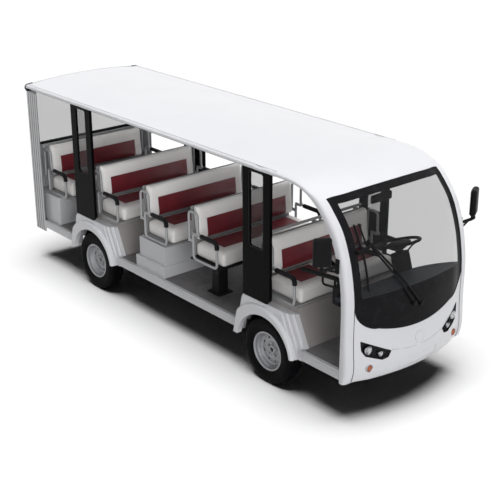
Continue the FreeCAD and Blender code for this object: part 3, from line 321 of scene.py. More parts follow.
def bolt_form(radius, height, axis):
    """Hexagon bolt head with a chamfered top, on a thin washer, at the origin."""
    washer = turned([(0, 0), (radius * 1.5, 0), (radius * 1.5, height * 0.22), (0, height * 0.22)],
                    (0, 0, 0), axis, 18)
    head = turned([(0, height * 0.2), (radius, height * 0.2), (radius, height * 0.85),
                   (radius * 0.86, height), (0, height)], (0, 0, 0), axis, 12, hex_wave)
    return joined(washer, head)


# ---- finishes ---------------------------------------------------------------------------
class Tree:
    """A node tree, and short calls for the nodes in it."""

    def __init__(self, tree):
        """Keeps the tree that the calls add to."""
        self.tree = tree

    def node(self, kind, **settings):
        """New shader node with some settings."""
        made = self.tree.nodes.new("ShaderNode" + kind)
        for key, value in settings.items():
            setattr(made, key, value)
        return made

    def join(self, source, target):
        """Feeds a socket from a number, a tuple or another socket."""
        if isinstance(source, (int, float, tuple)):
            target.default_value = source
        else:
            self.tree.links.new(source, target)

    def place(self, scale=(1, 1, 1), uv=False):
        """Object coordinates, or the piece's own map, scaled."""
        mapping = self.node("Mapping")
        self.join(self.node("TexCoord").outputs["UV" if uv else "Object"], mapping.inputs["Vector"])
        mapping.inputs["Scale"].default_value = scale
        return mapping.outputs["Vector"]

    def noise(self, scale, detail=3.0, rough=0.5, where=None):
        """Cloudy noise from 0 to 1."""
        made = self.node("TexNoise")
        for socket, value in (("Vector", where or self.place()), ("Scale", scale), ("Detail", detail),
                              ("Roughness", rough)):
            self.join(value, made.inputs[socket])
        return made.outputs["Fac"]

    def cells(self, scale):
        """Distance to the nearest of many scattered points."""
        made = self.node("TexVoronoi")
        self.join(self.place(), made.inputs["Vector"])
        made.inputs["Scale"].default_value = scale
        return made.outputs["Distance"]

    def axis(self, letter, where=None):
        """One coordinate of a place."""
        made = self.node("SeparateXYZ")
        self.join(where or self.place(), made.inputs["Vector"])
        return made.outputs[letter]

    def calc(self, operation, a, b=0.0):
        """Result of one sum."""
        made = self.node("Math", operation=operation)
        self.join(a, made.inputs[0])
        self.join(b, made.inputs[1])
        return made.outputs["Value"]

    def levels(self, value, low, high, to_low=0.0, to_high=1.0):
        """Value carried from one range to another, and held at the ends."""
        made = self.node("MapRange")
        for socket, source in (("Value", value), ("From Min", low), ("From Max", high),
                               ("To Min", to_low), ("To Max", to_high)):
            self.join(source, made.inputs[socket])
        return made.outputs["Result"]

    def blend(self, share, first, second):
        """Colour between two colours or sockets."""
        made = self.node("Mix", data_type="RGBA")
        colour_sockets = [socket for socket in made.inputs if socket.type == "RGBA"]
        self.join(share, made.inputs["Factor"])
        for socket, value in zip(colour_sockets, (first, second)):
            self.join((*value, 1.0) if isinstance(value, tuple) else value, socket)
        return next(socket for socket in made.outputs if socket.type == "RGBA")

    def one_when_seen(self, otherwise):
        """Value that is 1 for rays that look at a surface, and otherwise for rays that light it."""
        rays = self.node("LightPath").outputs
        seen = self.calc("MAXIMUM", rays["Is Camera Ray"], rays["Is Glossy Ray"])
        return self.levels(self.calc("MAXIMUM", seen, rays["Is Transmission Ray"]), 0.0, 1.0, otherwise)


class Finish(Tree):
    """A material with one main shader, and short calls for what feeds it."""

    def __init__(self, name, colour, roughness, **constants):
        """Main shader with a colour, a roughness and constants on its own sockets."""
        self.material = bpy.data.materials.new(name)
        self.material.use_nodes = True
        super().__init__(self.material.node_tree)
        self.shader = self.tree.nodes["Principled BSDF"]
        self.shader.inputs["Base Color"].default_value = (*colour, 1.0)
        self.shader.inputs["Roughness"].default_value = roughness
        for socket, value in constants.items():
            self.shader.inputs[socket.replace("_", " ")].default_value = value
        self.height = None

    def colour(self, value):
        """Feeds the base colour."""
        self.join(value, self.shader.inputs["Base Color"])

    def gloss(self, value):
        """Feeds the roughness."""
        self.join(value, self.shader.inputs["Roughness"])

    def mottled(self, noise, low, high, first, second):
        """Base colour that wanders between two colours as a noise goes from low to high."""
        self.colour(self.blend(self.levels(noise, low, high), first, second))

    def uneven(self, noise, low, high):
        """Roughness that wanders between two values with a noise."""
        self.gloss(self.levels(noise, 0.3, 0.7, low, high))

    def relief(self, value, depth, strength=1.0):
        """Adds a bump of some depth in metres to what is there already."""
        made = self.node("Bump")
        self.join(value, made.inputs["Height"])
        made.inputs["Distance"].default_value = depth
        made.inputs["Strength"].default_value = strength
        if self.height is not None:
            self.join(self.height, made.inputs["Normal"])
        self.height = made.outputs["Normal"]
        self.join(self.height, self.shader.inputs["Normal"])


def dimmed(colour, *shares):
    """Colour times one share, or times a share for each channel."""
    return tuple(c * s for c, s in zip(colour, shares * 3 if len(shares) == 1 else shares))


def gloss_paint(name, colour, coat=0.5):
    """Sprayed gloss paint: faint cloudiness in shade and gloss, and road dust near the ground."""
    f = Finish(name, colour, 0.32, Coat_Weight=coat, Coat_Roughness=0.04)
    shade = f.blend(f.levels(f.noise(1.2, 2.0), 0.3, 0.7), colour, dimmed(colour, 0.975))
    low = f.levels(f.axis("Z"), 0.60, 0.34)
    dust = f.calc("MULTIPLY", low, f.levels(f.noise(9.0, 6.0, 0.65), 0.42, 0.75, 0.0, 0.10))
    f.colour(f.blend(dust, shade, dimmed(colour, 0.74, 0.72, 0.68)))
    f.uneven(f.noise(2.5, 1.0), 0.28, 0.36)
    return f.material


def gloss_black(name, colour=(0.0025, 0.0025, 0.003)):
    """Black gloss panel: faint swirl of wiping marks and dust."""
    f = Finish(name, colour, 0.16, Specular_IOR_Level=0.03)
    f.mottled(f.noise(14.0, 6.0, 0.7), 0.5, 0.8, colour, dimmed(colour, 1.9))
    f.uneven(f.noise(5.0, 5.0, 0.6), 0.13, 0.26)
    f.relief(f.noise(120.0, 1.0), 0.0003, 0.12)
    return f.material


def moulded_plastic(name, colour, roughness=0.5):
    """Textured moulded plastic: leathery grain in relief and slightly uneven gloss."""
    f = Finish(name, colour, roughness, Specular_IOR_Level=0.07)
    f.mottled(f.noise(7.0, 3.0), 0.35, 0.65, colour, dimmed(colour, 1.22))
    f.uneven(f.noise(26.0, 3.0), roughness - 0.07, roughness + 0.08)
    f.relief(f.cells(1300 / 3), 0.0003, 0.5)
    return f.material


def coated_metal(name, colour, metallic, roughness):
    """Powder-coated or plated steel: fine pebble and small worn places."""
    f = Finish(name, colour, roughness, Metallic=metallic)
    worn = tuple(min(1.0, c * 1.5 + 0.03) for c in colour)
    wear = f.levels(f.noise(34.0, 8.0, 0.7), 0.66, 0.74, 0.0, 0.12)
    f.colour(f.blend(wear, colour, worn))
    f.uneven(f.noise(45.0, 4.0), roughness - 0.08, roughness + 0.1)
    f.relief(f.noise(420.0, 2.0), 0.0004, 0.22)
    return f.material


def chassis_paint(name, colour=(0.008, 0.008, 0.009)):
    """Black underbody paint with pale dried road dirt in streaks."""
    f = Finish(name, colour, 0.55, Specular_IOR_Level=0.10)
    dirt = f.levels(f.noise(6.0, 8.0, 0.7), 0.5, 0.78, 0.0, 0.35)
    f.colour(f.blend(dirt, colour, (0.055, 0.050, 0.042)))
    f.uneven(f.noise(30.0, 4.0), 0.45, 0.7)
    f.relief(f.noise(260.0, 3.0), 0.0007, 0.3)
    return f.material


def tinted_glass(name, colour, alpha):
    """Lightly smoked pane with a thin film of dust."""
    f = Finish(name, colour, 0.02, Alpha=alpha, Specular_IOR_Level=0.25)
    f.gloss(f.levels(f.noise(8.0, 5.0, 0.6), 0.35, 0.75, 0.015, 0.07))
    f.mottled(f.noise(3.0, 6.0, 0.65), 0.4, 0.8, colour, dimmed(colour, 1.2))
    return f.material


def floor_covering(name):
    """Dark grey vinyl with low lengthwise ribs, scuffs and trodden dust."""
    clean, trodden = (0.125, 0.120, 0.127), (0.185, 0.178, 0.176)
    f = Finish(name, clean, 0.55)
    f.mottled(f.noise(4.0, 7.0, 0.68), 0.4, 0.75, clean, trodden)
    f.uneven(f.noise(18.0, 4.0), 0.45, 0.66)
    rib = f.calc("PINGPONG", f.axis("Y"), 0.009)
    f.relief(f.levels(rib, 0.002, 0.004), 0.0012, 0.55)
    f.relief(f.noise(500.0, 2.0), 0.0002, 0.4)
    return f.material


def rubber(name, colour=(0.007, 0.007, 0.008), roughness=0.62):
    """Matt rubber with a pale bloom."""
    f = Finish(name, colour, roughness, Specular_IOR_Level=0.15)
    f.mottled(f.noise(20.0, 6.0, 0.65), 0.45, 0.8, colour, dimmed(colour, 2.2))
    f.relief(f.noise(380.0, 3.0), 0.0003, 0.3)
    return f.material


def arm_foam(name):
    """Black skinned foam sleeve: fine closed cells and a soft sheen."""
    f = Finish(name, (0.008, 0.008, 0.008), 0.7, Sheen_Weight=0.05, Specular_IOR_Level=0.10)
    f.mottled(f.noise(40.0, 5.0), 0.4, 0.7, (0.006, 0.006, 0.007), (0.014, 0.014, 0.015))
    f.relief(f.cells(700.0), 0.0006, 0.5)
    return f.material


def chrome(name):
    """Bright plated reflector with a faint haze."""
    f = Finish(name, (0.55, 0.55, 0.57), 0.08, Metallic=1.0)
    f.uneven(f.noise(60.0, 3.0), 0.05, 0.16)
    f.mottled(f.noise(30.0, 3.0), 0.4, 0.7, (0.62, 0.62, 0.64), (0.40, 0.41, 0.43))
    return f.material


def lens(name, colour, prism_glint):
    """Coloured lamp lens with a moulded prism pattern inside, 4 mm from ridge to hollow; its colour
    runs from a darkened lens colour in the hollows to a paler one on the ridges, painted shade and
    painted glints of the prisms.
    """
    f = Finish(name, colour, 0.12, Coat_Weight=0.3, Specular_IOR_Level=0.3)
    pitch = 0.004
    ridges = [f.levels(f.calc("PINGPONG", f.axis(letter), pitch), 0.0, pitch) for letter in "ZY"]
    both = f.calc("MULTIPLY", *ridges)
    # Darker in each hollow and paler on each ridge: painted shade and painted glints of the prisms.
    f.colour(f.blend(both, dimmed(colour, 0.55), prism_glint))
    f.relief(both, 0.0008, 0.5)
    return f.material


def upholstery(name, half_w, span):
    """Leather-grained vinyl: wine-red middle panel sewn into pale grey sides.

    The piece's own map gives metres across and along; the signed distance to the panel's
    rectangle picks the colour, the sunk seam with painted shade in it and the row of stitches
    beside it.
    """
    pale, wine = (0.88, 0.865, 0.85), (0.165, 0.015, 0.022)
    f = Finish(name, pale, 0.36, Coat_Weight=0.12, Coat_Roughness=0.2, Sheen_Weight=0.05)
    at = f.place(uv=True)
    u, v = f.axis("X", at), f.axis("Y", at)
    low, high = span
    du = f.calc("SUBTRACT", f.calc("ABSOLUTE", u), half_w)
    from_middle = f.calc("ABSOLUTE", f.calc("SUBTRACT", v, (low + high) / 2))
    dv = f.calc("SUBTRACT", from_middle, (high - low) / 2)
    outside = f.calc("MAXIMUM", du, dv)
    pale_tone = f.blend(f.levels(f.noise(5.0, 4.0), 0.35, 0.7), pale, (0.83, 0.81, 0.79))
    wine_tone = f.blend(f.levels(f.noise(6.0, 4.0), 0.35, 0.7), wine, (0.115, 0.010, 0.017))
    both = f.blend(f.levels(outside, 0.0006, -0.0006), pale_tone, wine_tone)
    seam = f.levels(f.calc("ABSOLUTE", outside), 0.0, 0.0022)
    # Colour darkened towards near black along the seam: painted shade in the seam's crease.
    f.colour(f.blend(f.levels(seam, 0.0, 1.0, 0.75, 0.0), both, (0.03, 0.02, 0.02)))
    along = f.blend(f.calc("GREATER_THAN", du, dv), u, v)
    dash = f.calc("GREATER_THAN", f.calc("PINGPONG", along, 0.003), 0.0011)
    row = f.levels(f.calc("ABSOLUTE", f.calc("SUBTRACT", outside, 0.0065)), 0.0011, 0.0005)
    f.relief(f.calc("MULTIPLY", dash, row), 0.0007, 0.8)
    f.relief(seam, 0.003, 0.9)
    f.relief(f.cells(420.0), 0.0003, 0.45)
    f.relief(f.noise(24.0, 4.0), 0.0022, 0.25)
    f.uneven(f.noise(16.0, 4.0), 0.30, 0.44)
    return f.material


def heel_board(name, colour):
    """Painted board: fine horizontal brush grain and kicked marks low down."""
    f = Finish(name, colour, 0.5)
    marks = f.calc("MULTIPLY", f.levels(f.axis("Z"), 0.62, 0.48),
                   f.levels(f.noise(12.0, 8.0, 0.7), 0.5, 0.7, 0.0, 0.4))
    tone = f.blend(f.levels(f.noise(3.0, 4.0), 0.35, 0.7), colour, dimmed(colour, 0.9))
    f.colour(f.blend(marks, tone, dimmed(colour, 0.5)))
    f.relief(f.noise(90.0, 3.0, where=f.place(scale=(1, 0.2, 3))), 0.0005, 0.25)
    return f.material


def tyre_compound(name):
    """Tyre rubber: fine mould lines round the side wall and dusty tread."""
    f = Finish(name, (0.006, 0.006, 0.007), 0.6, Specular_IOR_Level=0.04)
    dusty = f.levels(f.noise(11.0, 8.0, 0.7), 0.45, 0.8, 0.0, 0.45)
    f.colour(f.blend(dusty, (0.0025, 0.0025, 0.003), (0.010, 0.0095, 0.009)))
    pitch = 0.0012
    rings = f.calc("PINGPONG", f.axis("X", f.place(uv=True)), pitch)
    f.relief(f.levels(rings, 0.0, pitch), 0.0003, 0.4)
    f.relief(f.noise(420.0, 3.0), 0.0003, 0.35)
    return f.material


def wheel_paint(name):
    """Silver-grey wheel paint with fine flake and patches of brake dust."""
    f = Finish(name, (0.28, 0.285, 0.295), 0.38, Metallic=0.35, Coat_Weight=0.3)
    flake = f.levels(f.noise(900.0, 2.0), 0.35, 0.65)
    tone = f.blend(flake, (0.26, 0.265, 0.28), (0.34, 0.345, 0.36))
    dust = f.levels(f.noise(14.0, 7.0, 0.68), 0.45, 0.75, 0.0, 0.35)
    f.colour(f.blend(dust, tone, (0.16, 0.145, 0.13)))
    f.relief(f.noise(300.0, 2.0), 0.0003, 0.2)
    return f.material


WHITE = (0.640, 0.643, 0.668)
GREY = (0.50, 0.505, 0.52)
PAINT = gloss_paint("white_body_paint", WHITE)
GREY_PAINT = gloss_paint("light_grey_body_paint", GREY)
# Flute paint: the grey darkened to 40 %, painted shade inside the pillars' flutes.
FLUTE_SHADE_PAINT = gloss_paint("flute_painted_shade", dimmed(GREY, 0.40), coat=0.2)
# Seat box paint: a slightly darker copy of the grey paint, painted shade of the seat wells.
SEAT_BOX_SHADED_PAINT = gloss_paint("seat_box_grey_with_painted_shade", (0.48, 0.485, 0.50), coat=0.3)
BLACK_GLOSS = gloss_black("black_gloss_panel")
BAND = gloss_black("printed_screen_band", (0.010, 0.010, 0.011))
PLASTIC = moulded_plastic("grained_black_plastic", (0.0065, 0.0065, 0.007))
DASH = moulded_plastic("dash_moulding", (0.030, 0.034, 0.042), 0.48)
LAMP_BLACK = moulded_plastic("lamp_well_black", (0.012, 0.012, 0.013), 0.36)
GLASS = tinted_glass("smoked_glass", (0.010, 0.010, 0.011), 0.29)
COVER = tinted_glass("clear_lamp_cover", (0.02, 0.02, 0.022), 0.10)
FLOOR = floor_covering("ribbed_floor_vinyl")
TRIM = rubber("black_trim_rubber")
SEAM = rubber("panel_seam", (0.010, 0.010, 0.011), 0.7)
# Grey strips on the nose: painted shade along its crease, round its plate area and round its badge boss.
NOSE_SHADE = rubber("nose_painted_shade", (0.42, 0.42, 0.445), 0.6)
FOAM = arm_foam("arm_sleeve_foam")
TUBE = coated_metal("grey_seat_tube", (0.34, 0.345, 0.355), 0.25, 0.34)
ZINC = coated_metal("zinc_fasteners", (0.42, 0.42, 0.41), 0.8, 0.32)
BOARD = heel_board("grey_seat_board", (0.30, 0.30, 0.305))
HEEL = heel_board("taupe_heel_board", (0.325, 0.308, 0.297))
STEEL = chassis_paint("chassis_black")
TYRE = tyre_compound("tyre_compound")
WHEEL = wheel_paint("silver_wheel_paint")
CHROME = chrome("plated_reflector")
MIRROR = chrome("mirror_plate")
AMBER = lens("amber_lens", (0.42, 0.085, 0.020), (0.66, 0.16, 0.04))
RED = lens("red_lens", (0.26, 0.006, 0.008), (0.46, 0.016, 0.018))
BULB = lens("bulb_glass", (0.55, 0.56, 0.58), (0.85, 0.86, 0.88))

NODE_FINISHES = (
    (PAINT, "roof_shell front_pillars front_cowl fenders"),
    (GREY_PAINT, "rear_corner_pillars rear_panel side_sills"),
    (SEAT_BOX_SHADED_PAINT, "seat_boxes"),
    (BLACK_GLOSS, "side_panels"),
    (BAND, "windscreen_band"),
    (GLASS, "windscreen_glass window_panes"),
    (AMBER, "indicator_lamps"),
    (RED, "tail_lamps"),
    (TRIM, "tail_trims"),
    (FLOOR, "floor_deck"),
    (STEEL, "chassis_frame leaf_springs battery_box front_axle_beam rear_axle bench_stand"),
    (STEEL, "knuckle_left knuckle_right"),
    (HEEL, "wheel_seat_bases"),
    (BOARD, "seat_pans"),
    (TUBE, "seat_side_loops"),
    (FOAM, "armrest_pads"),
    (DASH, "dashboard"),
    (PLASTIC, "wheel_housings steering_column steering_wheel hand_lever"),
    (PLASTIC, "door_mirrors interior_mirror wiper"),
    (WHEEL, "rim_front_left rim_front_right rim_rear_left rim_rear_right"),
)

GRAB_BAR_Y = -0.5785
GRAB_BAR_FRONT_X = 2.1495
DASH_EDGE_Z = (1.021, 1.068)
AMBER_FROM_Z = 0.822
TAIL_LENS_T = 0.0045
FLUTE_DEPTH = (0.0006, 0.0062)
FLUTES_FROM_X = TAIL_X + 0.02


def dress_region(name, finish, belongs):
    """Gives the faces of a node whose middles pass a test a further finish."""
    mesh = NODES[name].data
    mesh.materials.append(finish)
    index = read_all(mesh.polygons, "material_index", kind=np.int32)
    index[belongs(*read_all(mesh.polygons, "center", 3).T)] = len(mesh.materials) - 1
    mesh.polygons.foreach_set("material_index", index)


def dress_nodes():
    """Gives every CAD node that stays its finish, and a few regions a second one."""
    for finish, names in NODE_FINISHES:
        for name in names.split():
            mesh = NODES[name].data
            mesh.materials.clear()
            mesh.materials.append(finish)
    dress_region("dashboard", PLASTIC, lambda x, y, z: (y < GRAB_BAR_Y) & (
        (z > DASH_EDGE_Z[1]) | (x < GRAB_BAR_FRONT_X) | (z < DASH_EDGE_Z[0])))
    dress_region("tail_lamps", AMBER, lambda x, y, z: z > AMBER_FROM_Z)
    dress_region("tail_lamps", GREY_PAINT, lambda x, y, z: x > TAIL_X + TAIL_LENS_T)
    # The faces sunk inside the flutes get the darker paint, painted shade in the flutes.
    dress_region("rear_corner_pillars", FLUTE_SHADE_PAINT, lambda x, y, z: (
        (np.abs(y) > SIDE_Y - FLUTE_DEPTH[1]) & (np.abs(y) < SIDE_Y - FLUTE_DEPTH[0])
        & (x > FLUTES_FROM_X)))


# ---- upholstery -------------------------------------------------------------------------
PAD_VOXEL = 0.013
PAD_EASE = 0.004
PAD_EDGE_R = 0.030
PAD_CROWN = 0.012
BACK_EDGE_R = 0.026
BACK_CROWN = 0.009
FACE_BAND = 0.03
SEAM_DEPTH = 0.003
SEAM_SPREAD = 0.009
CLOTH_STEPS = 20
CLOTH = {"quality": 4, "mass": 0.2, "tension_stiffness": 12, "compression_stiffness": 12,
         "bending_stiffness": 1.5, "use_pressure": True, "uniform_pressure_force": 4}
SEAT_PANEL = (0.486, (-0.330, -0.085))
FRONT_PANEL = (0.156, (-0.330, -0.085))
BACK_PANEL = (0.486, (0.0, 0.205))
OFF_PANEL = 1.0


def pad_block(corners, radius):
    """Eight corners as a closed block with rounded edges, remeshed to even cells."""
    faces = [(0, 3, 2, 1), (4, 5, 6, 7), (0, 1, 5, 4), (1, 2, 6, 5), (2, 3, 7, 6), (3, 0, 4, 7)]
    block = linked("pad_block", new_mesh("pad_block", corners, faces))
    bevel = block.modifiers.new("edge", "BEVEL")
    bevel.width = radius
    bevel.segments = 5
    remesh = block.modifiers.new("cells", "REMESH")
    remesh.mode = "VOXEL"
    remesh.voxel_size = PAD_VOXEL
    return block


def block_corners(x_low, x_high, z_low, z_high, thick, y0, y1):
    """Corners of a block whose front face leans from x_low at the foot to x_high at the head."""
    return [(x - dx, y, z) for x, z in ((x_low, z_low), (x_high, z_high))
            for dx, y in ((thick, y0), (0, y0), (0, y1), (thick, y1))]


def blown_points(solid, limit):
    """Points of a mesh after its cover is blown up like a stuffed cushion.

    The cloth runs twenty steps under inside pressure. How far a point moved, d, becomes
    limit * tanh(d / limit), so the crown stays within the limit.
    """
    pad = linked("pad_cloth", solid)
    start = read_all(solid.vertices, "co", 3)
    cloth = pad.modifiers.new("cover", "CLOTH")
    for setting, value in CLOTH.items():
        setattr(cloth.settings, setting, value)
    cloth.settings.effector_weights.gravity = 0
    cloth.point_cache.frame_start = 1
    cloth.point_cache.frame_end = CLOTH_STEPS
    for step in range(1, CLOTH_STEPS + 1):
        bpy.context.scene.frame_set(step)
    blown = pad.evaluated_get(bpy.context.evaluated_depsgraph_get()).to_mesh()
    move = read_all(blown.vertices, "co", 3) - start
    far = np.linalg.norm(move, axis=1, keepdims=True) + 1e-9
    bpy.data.objects.remove(pad)
    bpy.context.scene.frame_set(1)
    return start + move / far * limit * np.tanh(far / limit)


def stuffed(corners, radius, limit):
    block = pad_block(corners, radius)
    solid = bpy.data.meshes.new_from_object(block.evaluated_get(bpy.context.evaluated_depsgraph_get()))
    faces = [tuple(p.vertices) for p in solid.polygons]
    points = blown_points(solid, limit)
    bpy.data.objects.remove(block)
    return points, faces


def sunk_seam(points, across, along, normal, half_w, span):
    """Points drawn in along the normal by depth * exp(-(d / spread)^2), d from the panel's edge."""
    middle, half = (span[0] + span[1]) / 2, (span[1] - span[0]) / 2
    d = np.maximum(np.abs(across) - half_w, np.abs(along - middle) - half)
    return points - normal * (SEAM_DEPTH * np.exp(-(d / SEAM_SPREAD) ** 2))[:, None]


def place_pad(name, form, finish, across, along):
    """Stuffed pad as its own piece, with metres across and along as its map."""
    mesh = new_mesh(name, *form)
    mesh.shade_smooth()
    put_map(mesh, "panel", across, along)
    pad = linked(name, mesh)
    pad.data.materials.append(finish)
    smooth = pad.modifiers.new("smooth", "SUBSURF")
    smooth.levels = smooth.render_levels = 1
    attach(pad, "body")
    return pad


def cushion(name, form, finish, middle_y, panel, x):
    """Seat cushion moved to its row, with the panel's seam sunk into its top."""
    points, faces = form
    across, along = points[:, 1] - middle_y, points[:, 0]
    on_top = points[:, 2] > SEAT_Z + CUSHION_T - 2 * PAD_EASE - FACE_BAND
    sunk = sunk_seam(points, across, along, np.array([0.0, 0.0, 1.0]) * on_top[:, None], *panel)
    sunk[:, 2] = np.maximum(sunk[:, 2], SEAT_Z + 0.001)
    return place_pad(name, (sunk + (x, 0, 0), faces), finish, across,
                     np.where(on_top, along, OFF_PANEL))


def backrest(name, form, finish, x):
    """Backrest moved to its row, with the panel's seam sunk into its leaning front."""
    points, faces = form
    height = points[:, 2] - BACK_FOOT[1]
    slope = (BACK_HEAD[0] - BACK_FOOT[0]) / (BACK_HEAD[1] - BACK_FOOT[1])
    in_front = points[:, 0] > BACK_FOOT[0] + slope * height - FACE_BAND
    sunk = sunk_seam(points, points[:, 1], height, np.array([1.0, 0.0, 0.0]) * in_front[:, None],
                     *BACK_PANEL)
    return place_pad(name, (sunk + (x, 0, 0), faces), finish, points[:, 1],
                     np.where(in_front, height, OFF_PANEL))


def benches():
    """Seat cushions and backrests of all five rows; the front row has one cushion a side."""
    e = PAD_EASE
    x0, x1 = CUSHION_REACH[0] + e, CUSHION_REACH[1] - e
    z0, z1 = SEAT_Z + e, SEAT_Z + CUSHION_T - 2 * e
    edge_y = SEAT_HALF_W - e
    wide = stuffed(block_corners(x1, x1, z0, z1, x1 - x0, -edge_y, edge_y), PAD_EDGE_R, PAD_CROWN)
    half = stuffed(block_corners(x1, x1, z0, z1, x1 - x0, FRONT_SPLIT_Y + e, edge_y), PAD_EDGE_R, PAD_CROWN)
    back = stuffed(block_corners(BACK_FOOT[0] - e, BACK_HEAD[0] - e, BACK_FOOT[1] + e, BACK_HEAD[1] - e,
                                 BACK_T - 2 * e, -edge_y, edge_y), BACK_EDGE_R, BACK_CROWN)
    other_half = (half[0] * np.array([1.0, -1.0, 1.0]), [face[::-1] for face in half[1]])
    half_y = (FRONT_SPLIT_Y + SEAT_HALF_W) / 2
    seat_vinyl = upholstery("bench_vinyl", *SEAT_PANEL)
    front_vinyl = upholstery("front_bench_vinyl", *FRONT_PANEL)
    back_vinyl = upholstery("backrest_vinyl", *BACK_PANEL)
    for row, x in SEAT_ROWS.items():
        if row == 1:
            left = cushion("cushion_row_1_left", half, front_vinyl, half_y, FRONT_PANEL, x)
            cushion("cushion_row_1_right", other_half, front_vinyl, -half_y, FRONT_PANEL, x)
            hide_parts("seat_cushions")
        else:
            cushion(f"cushion_row_{row}", wide, seat_vinyl, 0.0, SEAT_PANEL, x)
        rest = backrest(f"backrest_row_{row}", back, back_vinyl, x)
        if row == 1:
            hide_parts("backrests")


# ---- wheels -----------------------------------------------------------------------------
TREAD_HALF_W = 0.056
TREAD_STEPS = 280
CROWN_DROP = 0.0035
GROOVE_DEPTH = 0.0062
GROOVE_HALF_W = 0.0022
GROOVE_FLANK = 0.0012
GROOVE_OFFSETS = (-0.034, -0.012, 0.012, 0.034)
NOTCHES = 56
NOTCH_SLANT = 60
NOTCH_LEVEL = 0.72
NOTCH_FROM_W = 0.037
NOTCH_FLANK = 0.004


def tyre_surface(centre, side):
    """Tyre as a function of the turn t and the place w along its section.

    The section runs bead, bulged side wall, shoulder, tread, and back on the other side and
    inside. The tread's radius falls by drop * (w / half width)^4. It is cut by four straight
    grooves in w, and near the shoulders by slanted notches where sin(56 t + 60 |w|) is high.
    """
    outer = np.array([(0.1656, 0.056), (0.170, 0.0640), (0.184, 0.0655), (0.196, 0.0715), (0.200, 0.0738),
                      (0.203, 0.0738), (0.206, 0.0750), (0.222, 0.0800), (0.240, 0.0823), (0.256, 0.0815),
                      (0.262, 0.0815), (0.264, 0.0800), (0.276, 0.0770), (0.286, 0.0725), (0.290, 0.0712),
                      (0.2945, 0.0660), (0.2985, 0.0590)])
    hollow_half = np.array([(0.291, -0.050), (0.287, -0.062), (0.250, -0.073), (0.200, -0.066),
                            (0.180, -0.056)])
    hollow = np.concatenate([hollow_half, hollow_half[::-1] * (1, -1)])
    w = np.linspace(TREAD_HALF_W, -TREAD_HALF_W, 57)
    crown = TYRE_R - CROWN_DROP * (w / TREAD_HALF_W) ** 4
    groove = np.zeros_like(w)
    for middle in GROOVE_OFFSETS:
        flank = (np.abs(w - middle) - GROOVE_HALF_W) / GROOVE_FLANK
        groove = np.maximum(groove, np.clip(1 - flank, 0, 1))
    t = np.linspace(0, 2 * np.pi, TREAD_STEPS, endpoint=False)
    wave = np.sin(NOTCHES * t[:, None] + NOTCH_SLANT * np.abs(w)[None, :])
    notch = np.clip((wave - NOTCH_LEVEL) * 6, 0, 1)
    notch = notch * np.clip((np.abs(w) - NOTCH_FROM_W) / NOTCH_FLANK, 0, 1)[None, :]
    tread = crown[None, :] - GROOVE_DEPTH * np.maximum(groove[None, :], notch * 0.8)
    wall, back_wall, inside = (np.broadcast_to(r, (TREAD_STEPS, len(r)))
                               for r in (outer[:, 0], outer[::-1, 0], hollow[:, 0]))
    radius = np.concatenate([wall, tread, back_wall, inside], axis=1)
    offset = np.concatenate([outer[:, 1], w, -outer[::-1, 1], hollow[:, 1]])
    points = placed(centre[0] + radius * np.cos(t)[:, None], centre[1] + side * offset,
                    centre[2] + radius * np.sin(t)[:, None])
    faces = grid_faces(TREAD_STEPS, radius.shape[1], close_rows=True, close_cols=True)
    if side > 0:
        faces = faces[:, ::-1]
    return (points, faces), radius


def wheels():
    """Tyres with tread, wheel nuts, hub plugs and valves."""
    nut_profile = [(0, 0), (0.0105, 0), (0.0105, 0.010), (0.0085, 0.013), (0.006, 0.013), (0.006, 0.019),
                   (0, 0.020)]
    plug_profile = [(0.0196, -0.004), (0.0196, 0.005), (0.016, 0.0075), (0.009, 0.0085), (0, 0.0087)]
    valve_profile = [(0, 0), (0.0045, 0), (0.0045, 0.018), (0.0055, 0.018), (0.0055, 0.030), (0, 0.031)]
    for place, (x, side) in WHEELS.items():
        body = f"wheel_{place}"
        form, radius = tyre_surface((x, side * TYRE_Y, TYRE_R), side)
        tyre = put_mesh(f"tyre_tread_{place}", form, TYRE, body, 32)
        put_map(tyre.data, "round", radius.ravel(), radius.ravel())
        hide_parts(f"tyre_{place}")
        out = (0.0, side, 0.0)
        t = FIRST_NUT_TURN + np.arange(5) * 2 * np.pi / 5
        spots = placed(x + NUT_CIRCLE_R * np.cos(t), side * (TYRE_Y + NUT_SEAT),
                       TYRE_R + NUT_CIRCLE_R * np.sin(t))
        nuts = repeated(turned(nut_profile, (0, 0, 0), out, 12, hex_wave), spots)
        plug = turned(plug_profile, (x, side * TYRE_Y, TYRE_R), out, 32)
        foot = (x + VALVE_FOOT[0], side * (TYRE_Y + VALVE_FOOT[1]), TYRE_R + VALVE_FOOT[2])
        valve = turned(valve_profile, foot, out, 10)
        put_mesh(f"wheel_nuts_{place}", nuts, ZINC, body)
        put_mesh(f"hub_plug_{place}", plug, PLASTIC, body)
        put_mesh(f"tyre_valve_{place}", valve, TRIM, body)


# ---- nose and windscreen ----------------------------------------------------------------
FIT_Y_POWERS = 5
FIT_Z_POWERS = 9
FIT_MIDDLE_Z = 1.1
FIT_ROUNDS = 6
FIT_MARGIN = 0.014
FACES_FORWARD = 0.3
NOSE_FROM_X = 2.0
RECESS_DEPTH = 0.003
RECESS_WEIGHT = 0.02
NEAR = 0.004


